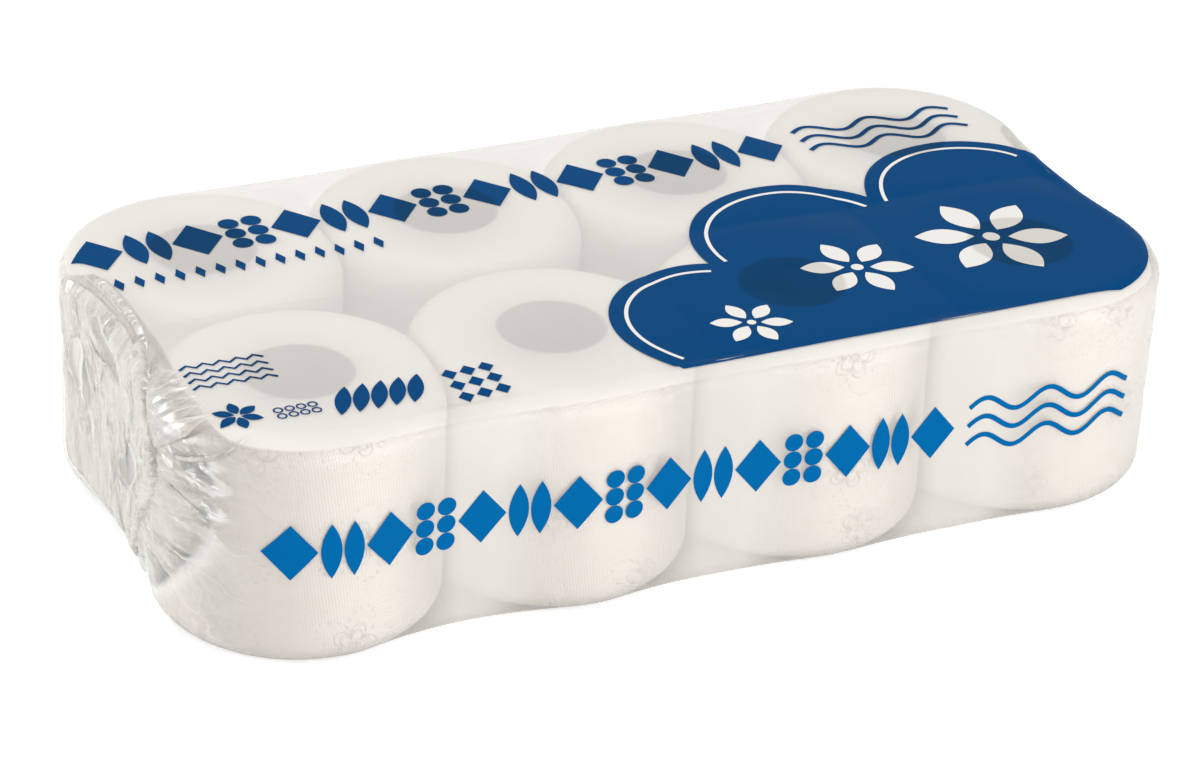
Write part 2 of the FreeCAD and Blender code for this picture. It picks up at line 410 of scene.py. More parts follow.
    def skin(self, tree: NodeTree, haze: Node, bump: Node) -> Node:
        """Mix a clear, glossy pane with a milky veil.

        Args:
            tree: Node tree of the film.
            haze: Share of the veil.
            bump: Normal of the creased film.

        Returns:
            The shader node.
        """
        fresnel = add_node(tree, "ShaderNodeFresnel", {"IOR": 1.5, "Normal": bump})
        clear = add_node(tree, "ShaderNodeBsdfTransparent", {"Color": linear("#FEFDFC")})
        gloss = add_node(tree, "ShaderNodeBsdfGlossy", {
            "Color": (1.0, 1.0, 1.0, 1.0), "Roughness": self.gloss_roughness, "Normal": bump})
        pane = add_node(tree, "ShaderNodeMixShader", {0: fresnel, 1: clear, 2: gloss})
        veil = linear(self.veil)
        front = add_node(tree, "ShaderNodeBsdfDiffuse", {"Color": veil, "Normal": bump})
        through = add_node(tree, "ShaderNodeBsdfTranslucent", {"Color": veil, "Normal": bump})
        white = add_node(tree, "ShaderNodeMixShader", {0: self.glow_through, 1: front, 2: through})
        return add_node(tree, "ShaderNodeMixShader", {0: haze, 1: pane, 2: white})

    def build(self) -> Material:
        """Make the film.

        The attribute crumple runs from 0, taut, to 1. The attribute apart runs from 0, touching a roll,
        to 1, well clear of it, where the film looks milkier; that haze is partly the film's own and partly
        painted light that lightens the shade in the gaps between rolls. The map fold_mm lies along the
        creases.
        """
        material, tree, output = fresh_material(self.name)
        values = [add_node(tree, "ShaderNodeAttribute", attribute_name=name, attribute_type="GEOMETRY")
                  for name in ("crumple", "apart")]
        crumple, apart = (value.outputs["Fac"] for value in values)
        moved = self.creased_place(tree)
        along = add_node(tree, "ShaderNodeMapping", {
            "Vector": moved, "Scale": (1 / self.crease_mm, 1 / self.crease_length_mm, 1.0)})
        facets, fine = (
            add_node(tree, "ShaderNodeTexVoronoi", {"Vector": along, "Scale": scale},
                     feature="DISTANCE_TO_EDGE", voronoi_dimensions="2D")
            for scale in (1.0, 2.3))
        streaks = add_node(tree, "ShaderNodeTexNoise", {
            "Vector": along, "Scale": 1.1, "Detail": 3.0, "Roughness": 0.5}, noise_dimensions="2D")
        both = add_node(tree, "ShaderNodeMath", {
            0: fine.outputs["Distance"], 1: 0.3, 2: facets.outputs["Distance"]}, operation="MULTIPLY_ADD")
        finely = add_node(tree, "ShaderNodeMapping", {
            "Vector": moved, "Scale": (1 / self.stroke_mm, 1 / self.stroke_length_mm, 1.0)})
        strokes = add_node(tree, "ShaderNodeTexNoise", {
            "Vector": finely, "Scale": 1.0, "Detail": 3.0, "Roughness": 0.55}, noise_dimensions="2D")
        hatched = add_node(tree, "ShaderNodeMath", {0: strokes, 1: 0.13, 2: both}, operation="MULTIPLY_ADD")
        mixed = add_node(tree, "ShaderNodeMath", {0: hatched, 1: streaks}, operation="ADD")
        place = add_node(tree, "ShaderNodeTexCoord")
        slack = add_node(tree, "ShaderNodeTexNoise", {
            "Vector": place.outputs["Object"], "Scale": 15.0, "Detail": 1.0})
        ripple = add_node(tree, "ShaderNodeBump", {"Height": slack, "Strength": 0.2, "Distance": 2.0 * MM})
        if self.coat:
            ripple = self.cling(tree, apart, crumple, ripple)
        strength = add_node(tree, "ShaderNodeMapRange", {
            "Value": crumple, "To Min": 0.0, "To Max": self.crease_depth})
        bump = add_node(tree, "ShaderNodeBump", {
            "Height": mixed, "Strength": strength, "Distance": 2.0 * MM, "Normal": ripple})
        crease_glints_and_whitening = self.crease_glints_and_whitening(tree, along, facets, strokes)
        shader = self.skin(tree, self.cloudiness(tree, crumple, apart, crease_glints_and_whitening), bump)
        if self.fading:
            shader = self.fade(tree, crumple, shader)
        if self.coat:
            shader = self.print_coat(tree, shader)
        tree.links.new(shader.outputs[0], output.inputs[0])
        return material

    def print_coat(self, tree: NodeTree, shader: Node) -> Node:
        """Cover the film with its coat where coat_mm, the way past the coat's edge, is above 0.

        Args:
            tree: Node tree of the film.
            shader: Shader of the bare film.

        Returns:
            The shader of the film with its coat.
        """
        way = add_node(tree, "ShaderNodeAttribute", attribute_name="coat_mm", attribute_type="GEOMETRY")
        inside = add_node(tree, "ShaderNodeMapRange", {
            "Value": way.outputs["Fac"], "From Min": -0.5, "From Max": 0.5})
        return add_node(tree, "ShaderNodeMixShader", {
            0: inside, 1: shader, 2: self.coat.shader(tree).outputs[0]})

    def fade(self, tree: NodeTree, crumple: NodeSocket,
             shader: Node) -> Node:
        """Let a loose layer vanish where it lies flat on the film under it.

        Args:
            tree: Node tree of the film.
            crumple: The attribute crumple.
            shader: Shader of the whole layer.

        Returns:
            The shader that fades.
        """
        gone = add_node(tree, "ShaderNodeBsdfTransparent", {"Color": (1.0, 1.0, 1.0, 1.0)})
        there = add_node(tree, "ShaderNodeMapRange", {
            "Value": crumple, "From Max": 0.35}, interpolation_type="SMOOTHSTEP")
        return add_node(tree, "ShaderNodeMixShader", {0: there, 1: gone, 2: shader})


@dataclass(frozen=True)
class GravureInk:
    """Gravure ink on film: one even tone, satin, with painted shade that makes it darker where an open core
    lies under it.
    """

    name: str
    colour: str
    painted_hole_shade: str
    columns: tuple[float, ...] = ()
    row_y: float = 0.0
    core_radius: float = 0.0

    def build(self) -> Material:
        """Make the ink."""
        material, tree, output = fresh_material(self.name)
        place = add_node(tree, "ShaderNodeTexCoord")
        mottle = add_node(tree, "ShaderNodeTexNoise", {
            "Vector": place.outputs["Object"], "Scale": 45.0, "Detail": 4.0, "Distortion": 0.5})
        bump = add_node(tree, "ShaderNodeBump", {"Height": mottle, "Strength": 0.2, "Distance": 0.8 * MM})
        shader = add_node(tree, "ShaderNodeBsdfPrincipled", {
            "Base Color": linear(self.colour), "Roughness": 0.38, "IOR": 1.5, "Specular IOR Level": 0.015,
            "Normal": bump})
        # Painted shade: the ink's colour darkens over the core holes.
        if self.columns:
            tone = self.tone(tree, place.outputs["Object"], mottle.outputs[0])
            tree.links.new(tone, shader.inputs["Base Color"])
        tree.links.new(shader.outputs[0], output.inputs[0])
        return material

    def tone(self, tree: NodeTree, place: NodeSocket,
             mottle: NodeSocket) -> NodeSocket:
        """Ink colour with painted shade: it darkens over the core holes, where the dark inside of a core
        would show through.

        Args:
            tree: Node tree of the ink.
            place: Object coordinates.
            mottle: Noise that softens the edge of each hole.

        Returns:
            The colour.
        """
        pitch = self.columns[1] - self.columns[0]
        start = (pitch / 2 - self.columns[0], 0.0, 0.0)
        moved = add_node(tree, "ShaderNodeVectorMath", {0: place, 1: start}, operation="ADD")
        split = add_node(tree, "ShaderNodeSeparateXYZ", {0: moved})
        turn = add_node(tree, "ShaderNodeMath", {0: split, 1: pitch}, operation="FLOORED_MODULO")
        across = add_node(tree, "ShaderNodeMath", {0: turn, 1: pitch / 2}, operation="SUBTRACT")
        side = add_node(tree, "ShaderNodeMath", {0: split.outputs[1]}, operation="ABSOLUTE")
        deep = add_node(tree, "ShaderNodeMath", {0: side, 1: self.row_y}, operation="SUBTRACT")
        flat = add_node(tree, "ShaderNodeCombineXYZ", {0: across, 1: deep})
        distance = add_node(tree, "ShaderNodeVectorMath", {0: flat}, operation="LENGTH")
        inside = add_node(tree, "ShaderNodeMapRange", {
            "Value": distance.outputs["Value"], "From Min": self.core_radius - 1.2 * MM,
            "From Max": self.core_radius + 1.2 * MM, "To Min": 1.0, "To Max": 0.0},
            interpolation_type="SMOOTHSTEP")
        ragged = add_node(tree, "ShaderNodeMapRange", {"Value": mottle, "To Min": 0.6, "To Max": 1.1})
        share = add_node(tree, "ShaderNodeMath", {
            0: inside, 1: ragged}, operation="MULTIPLY", use_clamp=True)
        # Painted shade: mix towards the darker colour over each hole.
        mix = add_node(tree, "ShaderNodeMix", {
            "Factor": share, "A": linear(self.colour), "B": linear(self.painted_hole_shade)}, data_type="RGBA")
        return mix.outputs["Result"]


def deselect() -> None:
    """Leave nothing selected, in object mode."""
    if bpy.context.object and bpy.context.object.mode != "OBJECT":
        bpy.ops.object.mode_set(mode="OBJECT")
    bpy.ops.object.select_all(action="DESELECT")


def take(piece: Object) -> None:
    """Make a piece the only selected and active one.

    Args:
        piece: Object to work on.
    """
    deselect()
    piece.select_set(True)
    bpy.context.view_layer.objects.active = piece


def settle(piece: Object, name: str) -> Object:
    """Name a piece and put its place into its mesh.

    Args:
        piece: Object to name.
        name: Its name in the scene.

    Returns:
        The same object.
    """
    take(piece)
    bpy.ops.object.transform_apply(location=True, rotation=True, scale=True)
    piece.name = name
    piece.data.name = name
    return piece


def points_of(piece: Object) -> np.ndarray:
    """Vertex positions of a mesh piece, one row each."""
    flat = np.empty(len(piece.data.vertices) * 3)
    piece.data.vertices.foreach_get("co", flat)
    return flat.reshape(-1, 3)


def move_points(piece: Object, points: np.ndarray) -> None:
    """Put a mesh piece's vertices at new positions.

    Args:
        piece: Mesh object.
        points: One row for each vertex.
    """
    piece.data.vertices.foreach_set("co", np.ascontiguousarray(points).ravel())
    piece.data.update()


def face_outwards(piece: Object, merge: float = 0.0) -> None:
    """Turn a mesh's faces outwards, after its doubles are merged where a distance is given.

    Args:
        piece: Mesh object.
        merge: Distance under which vertices become one.
    """
    take(piece)
    bpy.ops.object.mode_set(mode="EDIT")
    bpy.ops.mesh.select_all(action="SELECT")
    if merge:
        bpy.ops.mesh.remove_doubles(threshold=merge)
    bpy.ops.mesh.normals_make_consistent(inside=False)
    bpy.ops.object.mode_set(mode="OBJECT")


def dress(piece: Object, slot: str, *materials: Material) -> None:
    """Give a piece its materials and its body.

    Args:
        piece: Mesh object.
        slot: Not used.
        materials: Materials in order of the faces' material index.
    """
    for material in materials:
        piece.data.materials.append(material)
    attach(piece, "root")


@dataclass
class PackLayout:
    """Where the rolls and the film lie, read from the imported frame."""

    rim_radius: float = 10.65 * MM
    side_bridge_radius: float = 220.0 * MM
    end_bridge_radius: float = 300.0 * MM
    columns: tuple[float, ...] = field(init=False)
    row_y: float = field(init=False)
    roll_radius: float = field(init=False)
    roll_top: float = field(init=False)
    roll_bottom: float = field(init=False)
    height: float = field(init=False)
    wrap_radius: float = field(init=False)

    def __post_init__(self) -> None:
        """Read the sizes of the rolls, the cores and the film."""
        centres = []
        for number in range(1, 5):
            low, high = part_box(f"core_front_{number}")
            centres.append((low[0] + high[0]) / 2)
        self.columns = tuple(centres)
        self.row_y = -(low[1] + high[1]) / 2
        roll_low, roll_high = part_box("roll_front_1")
        self.roll_radius = -roll_low[1] - self.row_y
        self.roll_bottom = roll_low[2]
        self.roll_top = roll_high[2]
        film_low, film_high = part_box("film")
        self.height = film_high[2]
        self.wrap_radius = film_high[1] - self.row_y

    def outline(self, end_step: float, side_step: float) -> tuple[np.ndarray, np.ndarray, np.ndarray]:
        """Sample the film's closed plan outline.

        Args:
            end_step: Spacing of the samples at the two ends.
            side_step: Spacing along the front and the back.

        Returns:
            Points, outward normals and, for each point, its share from 0 on a side to 1 on an end.
        """
        centres = [(x, -self.row_y) for x in self.columns]
        centres += [(x, self.row_y) for x in reversed(self.columns)]
        bridges = []
        for here, there in zip(centres, centres[1:] + centres[:1]):
            across = np.subtract(there, here)
            span = np.hypot(*across)
            is_end = abs(across[0]) < abs(across[1])
            radius = self.end_bridge_radius if is_end else self.side_bridge_radius
            outwards = np.array((across[1], -across[0])) / span
            middle = np.add(here, there) / 2
            centre = middle + outwards * math.sqrt((self.wrap_radius + radius) ** 2 - span ** 2 / 4)
            bridges.append((centre, radius, is_end))
        points, normals = [], []
        for index, centre in enumerate(centres):
            before, after = bridges[index - 1], bridges[index]
            start = math.atan2(*(before[0] - centre)[::-1])
            end = math.atan2(*(after[0] - centre)[::-1])
            end += 2 * math.pi if end < start else 0
            fine = end_step if before[2] or after[2] else side_step
            count = max(3, round(self.wrap_radius * (end - start) / fine))
            for angle in np.linspace(start, end, count, endpoint=False):
                way = np.array((math.cos(angle), math.sin(angle)))
                points.append(centre + way * self.wrap_radius)
                normals.append(way)
            hollow, radius, is_end = after
            start = math.atan2(*(np.array(centre) - hollow)[::-1])
            following = centres[(index + 1) % len(centres)]
            end = math.atan2(*(np.array(following) - hollow)[::-1])
            turn = (end - start + math.pi) % (2 * math.pi) - math.pi
            count = max(3, round(radius * abs(turn) / (end_step if is_end else side_step)))
            for angle in np.linspace(start, start + turn, count, endpoint=False):
                way = np.array((math.cos(angle), math.sin(angle)))
                points.append(hollow + way * radius)
                normals.append(-way)
        normals = np.array(normals)
        return np.array(points), normals, np.abs(normals[:, 0]) ** 2

    def nearest_roll(self, points: np.ndarray) -> np.ndarray:
        """Distance in plan from each point to the nearest roll's axis.

        Args:
            points: Rows that start with x and y.

        Returns:
            One distance for each row.
        """
        best = np.full(len(points), 1e9)
        for x in self.columns:
            for y in (-self.row_y, self.row_y):
                best = np.minimum(best, np.hypot(points[:, 0] - x, points[:, 1] - y))
        return best


def smooth(value: np.ndarray, low: float, high: float) -> np.ndarray:
    """Smooth step from 0 at low to 1 at high."""
    share = np.clip((value - low) / (high - low), 0, 1)
    return share * share * (3 - 2 * share)


# Smooth patches of film on an end, in millimetres: middle, height, half width, half height and lean.
CLEAR_PATCHES = ((14, 45, 22, 13, 0.55), (-12, 85, 24, 7, -0.33), (-42, 62, 9, 18, 0.0))


def clear_patch(forward: np.ndarray, up: np.ndarray) -> np.ndarray:
    """Where the film of the ends lies smooth over the hollow between two rolls, and is clear.

    Args:
        forward: Lengths towards the front row from the middle of the end.
        up: Lengths up the wrap.

    Returns:
        1 inside a patch, 0 outside.
    """
    total = np.zeros(np.shape(forward))
    places = np.stack([forward, up, np.zeros(np.shape(forward))], -1).reshape(-1, 3)
    torn = np.array([noise.noise(Vector(p) / (13 * MM)) for p in places]).reshape(np.shape(forward))
    for middle, height, across, tall, lean in CLEAR_PATCHES:
        a = (forward / MM - middle) / across
        b = (up / MM - height - lean * (forward / MM - middle)) / tall
        total = np.maximum(total, 1 - smooth(np.abs(a) ** 1.4 + np.abs(b) ** 1.4 + 0.7 * torn, 0.45, 1.25))
    return 0.9 * total


def ridges(points: np.ndarray, scale: float, octaves: int, seed: float) -> np.ndarray:
    """Creased noise: sharp ridges between smooth hollows.

    Args:
        points: Positions in metres.
        scale: Spacing of the ridges in metres.
        octaves: Layers of finer ridges.
        seed: Shift that gives another pattern.

    Returns:
        Values from 0 to about 1.
    """
    total = np.zeros(len(points))
    weight = 1.0
    for octave in range(octaves):
        size = scale / 2 ** octave
        shift = Vector((seed, seed * 1.7 + octave * 5.3, -seed))
        layer = np.array([noise.noise(Vector(p) / size + shift) for p in points])
        total += weight * (1 - np.minimum(1, np.abs(layer) * 2.4))
        weight *= 0.5
    return total / (2 - 2 * weight)


@dataclass
class FilmWrap:
    """The film round the pack: flat and printed on top, clear on the sides, crumpled at the ends."""

    layout: PackLayout
    film: Material
    end_step: float = 1.3 * MM
    side_step: float = 2.8 * MM
    row_step: float = 2.0 * MM
    rim_steps: int = 9
    top_rows: int = 34
    bottom_rows: int = 9
    top_sag: float = 2.2 * MM
    end_crumple: float = 1.3 * MM
    front_dips: tuple[float, float, float] = (1.05, 0.55, 0.3)
    back_dip: float = 0.5
    coat_edge_side: float = 95.8 * MM
    coat_edge_back: float = 86.0 * MM
    gather_y: float = -40.0 * MM
    gather_up: float = 90.0 * MM
    gather_radius: float = 45.0 * MM
    hole_sag: float = 0.35 * MM
    free_from: float = 46.0 * MM
    free_over: float = 28.0 * MM
    piece: Object = field(init=False)
    places: np.ndarray = field(init=False)
    facing: np.ndarray = field(init=False)
    row_up: np.ndarray = field(init=False)
    travel: np.ndarray = field(init=False)

    def profile(self) -> list[tuple[float, float, float, float, float]]:
        """Rows from the middle of the bottom to the middle of the top.

        Returns:
            For each row its inset from the outline, its height, its share of the way to the spine, its
            length up the wrap from the floor, and how far its normal leans up, in radians.
        """
        rim = self.layout.rim_radius
        height = self.layout.height
        rows = [(rim, 0.0, 1 - n / self.bottom_rows, -rim * (2 - n / self.bottom_rows), -math.pi / 2)
                for n in range(self.bottom_rows)]
        for n in range(self.rim_steps + 1):
            angle = math.pi / 2 * n / self.rim_steps
            z = rim * (1 - math.cos(angle))
            rows.append((rim * (1 - math.sin(angle)), z, 0.0, z, angle - math.pi / 2))
        sides = round((height - 2 * rim) / self.row_step)
        for n in range(1, sides):
            z = rim + (height - 2 * rim) * n / sides
            rows.append((0.0, z, 0.0, z, 0.0))
        for n in range(self.rim_steps + 1):
            angle = math.pi / 2 * n / self.rim_steps
            rows.append((rim * (1 - math.cos(angle)), height - rim * (1 - math.sin(angle)), 0.0,
                         height - rim + rim * angle, angle))
        edge = height - rim + rim * math.pi / 2
        rows += [(rim, height, (n + 1) / self.top_rows, edge + 1.5 * MM * (n + 1), math.pi / 2)
                 for n in range(self.top_rows)]
        return rows

    def fan(self, points: np.ndarray, up: np.ndarray) -> tuple[np.ndarray, np.ndarray]:
        """Angle about the gather, as a length, and distance from it.

        Args:
            points: Positions near an end.
            up: Length up the wrap for each position.

        Returns:
            Length round the gather at its own radius, and distance from it.
        """
        across = points[:, 1] - self.gather_y
        rise = up - self.gather_up
        return np.arctan2(across, -rise) * self.gather_radius, np.hypot(across, rise)

    def pull_taut(self, points: np.ndarray, z: float) -> np.ndarray:
        """Pull the wrap's front and back straighter over the gaps between rolls, most of all at the top.

        Args:
            points: Plan outline.
            z: Height of the row.

        Returns:
            The outline at that height.
        """
        gaps = np.array(self.layout.columns[:-1]) + (self.layout.columns[1] - self.layout.columns[0]) / 2
        front = points[:, 1] < 0
        up = z / self.layout.height
        depth = np.where(front, np.interp(points[:, 0], gaps, self.front_dips), self.back_dip)
        depth = depth * (1.25 - 0.75 * up)
        taut = np.sign(points[:, 1]) * (self.layout.row_y + self.layout.wrap_radius)
        along = np.abs(points[:, 0]) < self.layout.columns[-1]
        pulled = points.copy()
        pulled[:, 1] = np.where(along, taut + (points[:, 1] - taut) * depth, points[:, 1])
        return pulled

    def raise_end_folds(self, points: np.ndarray, up: np.ndarray, share: np.ndarray) -> np.ndarray:
        """How far the crumpled ends stand out from the taut wrap.

        Args:
            points: Taut positions.
            up: Length up the wrap for each position.
            share: 0 on a side to 1 on an end.

        Returns:
            Outward displacement in metres.
        """
        if share.max() < 0.02:
            return np.zeros(len(points))
        around, distance = self.fan(points, up)
        streak_place = np.stack([around, distance * 0.16, points[:, 0] * 0.3], 1)
        streaks = ridges(streak_place, 10 * MM, 2, 4.1)
        facets = ridges(points * np.array((1.0, 1.0, 0.45)), 30 * MM, 2, 1.3)
        near = np.exp(-distance / (60 * MM))
        push = self.end_crumple * (streaks * (0.3 + 0.7 * near) + 0.6 * facets - 0.35)
        return share * push * smooth(distance, 0.0, 12 * MM)

    def build(self) -> None:
        """Roll a grid into the wrap, sag and crumple it, and close it."""
        points, normals, at_end = self.layout.outline(self.end_step, self.side_step)
        rows = self.profile()
        around = len(points)
        deselect()
        bpy.ops.mesh.primitive_grid_add(x_subdivisions=around, y_subdivisions=len(rows) - 1, size=1.0)
        piece = bpy.context.object
        spine_end = self.layout.columns[-1] - self.layout.row_y * 0.6
        spine = np.stack([np.clip(points[:, 0], -spine_end, spine_end), np.zeros(around)], 1)
        outward = np.column_stack([normals, np.zeros(around)])
        self.places = np.empty((len(rows), around, 3))
        self.facing = np.empty((len(rows), around, 3))
        crumple = np.empty((len(rows), around))
        apart = np.empty((len(rows), around))
        coated = np.empty((len(rows), around))
        coat_edge = self.coat_edge(points)
        fold_map = np.empty((len(rows), around, 2))
        for index, (inset, z, inwards, up, lean) in enumerate(rows):
            ring = self.pull_taut(points, z) - normals * inset
            self.places[index, :, :2] = ring * (1 - inwards) + spine * inwards
            self.places[index, :, 2] = z
            self.facing[index] = outward * math.cos(lean) + np.array((0.0, 0.0, math.sin(lean)))
            on_side = 1 - inset / self.layout.rim_radius
            ups = np.full(around, up)
            push = self.raise_end_folds(self.places[index], ups, at_end * on_side ** 0.5)
            fan_around, fan_distance = self.fan(self.places[index], ups)
            fold_map[index] = np.stack([fan_around, fan_distance], 1) / MM
            self.places[index] += outward * push[:, None]
            crumple[index] = smooth(at_end, 0.3, 0.9) * smooth(np.full(around, on_side), 0.1, 0.6)
            crumple[index] *= 1 - clear_patch(-self.places[index, :, 1], ups)
            # apart grows with the film's distance from the rolls; the film turns it into haze that is
            # partly painted light over the shaded gaps between rolls.
            stand_off = self.layout.nearest_roll(self.places[index]) - self.layout.roll_radius
            apart[index] = smooth(stand_off, 1 * MM, 14 * MM) * smooth(np.full(around, on_side), 0.0, 0.5)
            apart[index] *= 1 - smooth(at_end, 0.5, 0.9)
            coated[index] = (up - coat_edge) / MM
            if z >= self.layout.height - 1e-9:
                self.places[index, :, 2] -= self.sag(self.places[index])
        wrapped = np.concatenate([self.places, self.places[:, :1]], 1).reshape(-1, 3)
        move_points(piece, wrapped)
        for name, values in (("crumple", crumple), ("apart", apart), ("coat_mm", coated)):
            attribute = piece.data.attributes.new(name, "FLOAT", "POINT")
            attribute.data.foreach_set("value", np.concatenate([values, values[:, :1]], 1).ravel())
        write_map(piece, "fold_mm", np.concatenate([fold_map, fold_map[:, :1]], 1).reshape(-1, 2))
        self.row_up = np.array([row[3] for row in rows])
        steps = np.hypot(*np.diff(np.vstack([points, points[:1]]), axis=0).T)
        self.travel = np.concatenate([[0.0], np.cumsum(steps)])
        face_outwards(piece, merge=0.01 * MM)
        bpy.ops.object.shade_smooth()
        self.piece = settle(piece, "film_wrap")
        dress(self.piece, "wrap_film", self.film)
        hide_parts("film")
        LOG.info("film wrap: %d faces", len(piece.data.polygons))

    def sag(self, places: np.ndarray) -> np.ndarray:
        """How far the top film sinks between the rolls and into the core holes.

        Args:
            places: Positions on the flat top.

        Returns:
            Sag in metres.
        """
        distance = self.layout.nearest_roll(places)
        between = np.clip((distance - self.free_from) / self.free_over, 0, 1) ** 1.4
        inside = 1 - smooth(distance, 8 * MM, 21 * MM)
        return self.top_sag * between + self.hole_sag * inside

    def coat_edge(self, points: np.ndarray) -> np.ndarray:
        """Find how far down the wrap the white coat comes: over the rim on the sides, not at all at seals.

        Args:
            points: Plan outline.

        Returns:
            Length up the wrap of the coat's edge, for each point.
        """
        plane = self.layout.height + (math.pi / 2 - 1) * self.layout.rim_radius
        forward = -points[:, 1]
        bare = smooth(forward, -60 * MM, -38 * MM) * (1 - smooth(forward, 66 * MM, 100 * MM))
        sides = np.where(forward < -self.layout.row_y * 1.6, self.coat_edge_back, self.coat_edge_side)
        last = self.layout.columns[-1]
        back_corner = smooth(np.abs(points[:, 0]), last, last + 30 * MM)
        sides = sides + (self.coat_edge_side - sides) * back_corner
        return sides + (plane + 0.6 * MM - sides) * bare * smooth(np.abs(points[:, 0]), 0.17, 0.19)

    def on_end(self, end: End, forward: np.ndarray, up: np.ndarray) -> tuple[np.ndarray, np.ndarray]:
        """Find places on one end of the wrap.

        Args:
            end: Which end.
            forward: Lengths round the wrap from the middle of the end towards the front row.
            up: Lengths up the wrap from the floor.

        Returns:
            Positions and outward directions.
        """
        around = self.places.shape[1]
        middle_row = self.places[len(self.row_up) // 3]
        facing_end = middle_row[:, 0] * end.value > 0
        middle = int(np.argmin(np.abs(middle_row[:, 1]) + np.where(facing_end, 0.0, 1.0)))
        total = self.travel[-1]
        along = (self.travel[middle] - end.value * forward) % total
        column = np.interp(along, self.travel, np.arange(around + 1))
        row = np.interp(up, self.row_up, np.arange(len(self.row_up)))
        c0, r0 = np.floor(column).astype(int), np.minimum(np.floor(row).astype(int), len(self.row_up) - 2)
        fc, fr = (column - c0)[..., None], (row - r0)[..., None]
        c0 = c0 % around
        c1 = (c0 + 1) % around

        def blend(grid: np.ndarray) -> np.ndarray:
            """Mix the four nearest rows and columns."""
            low = grid[r0, c0] * (1 - fc) + grid[r0, c1] * fc
            high = grid[r0 + 1, c0] * (1 - fc) + grid[r0 + 1, c1] * fc
            return low * (1 - fr) + high * fr

        facing = blend(self.facing)
        return blend(self.places), facing / np.linalg.norm(facing, axis=-1, keepdims=True)


def write_map(piece: Object, name: str, values: np.ndarray) -> None:
    """Give a mesh a UV map from one pair of values for each vertex.

    Args:
        piece: Mesh object.
        name: Name of the map.
        values: One row of two numbers for each vertex.
    """
    layer = piece.data.uv_layers.new(name=name)
    corners = np.empty(len(piece.data.loops), dtype=np.int32)
    piece.data.loops.foreach_get("vertex_index", corners)
    layer.data.foreach_set("uv", values[corners].ravel())


def spread(points: list[tuple[float, float]], count: int) -> np.ndarray:
    """Even points along a smooth curve through some points, in metres.

    Args:
        points: Points in millimetres.
        count: How many points to return.

    Returns:
        One row for each point.
    """
    line = np.array(points, float) * MM
    padded = np.vstack([2 * line[0] - line[1], line, 2 * line[-1] - line[-2]])
    dense = []
    for n in range(1, len(padded) - 2):
        before, here, there, after = padded[n - 1:n + 3]
        for t in np.linspace(0, 1, 24, endpoint=False):
            dense.append(0.5 * (2 * here + (there - before) * t
                                + (2 * before - 5 * here + 4 * there - after) * t ** 2
                                + (3 * here - before - 3 * there + after) * t ** 3))
    dense.append(line[-1])
    dense = np.array(dense)
    travel = np.concatenate([[0.0], np.cumsum(np.hypot(*np.diff(dense, axis=0).T))])
    even = np.linspace(0, travel[-1], count)
    return np.stack([np.interp(even, travel, dense[:, axis]) for axis in (0, 1)], 1)


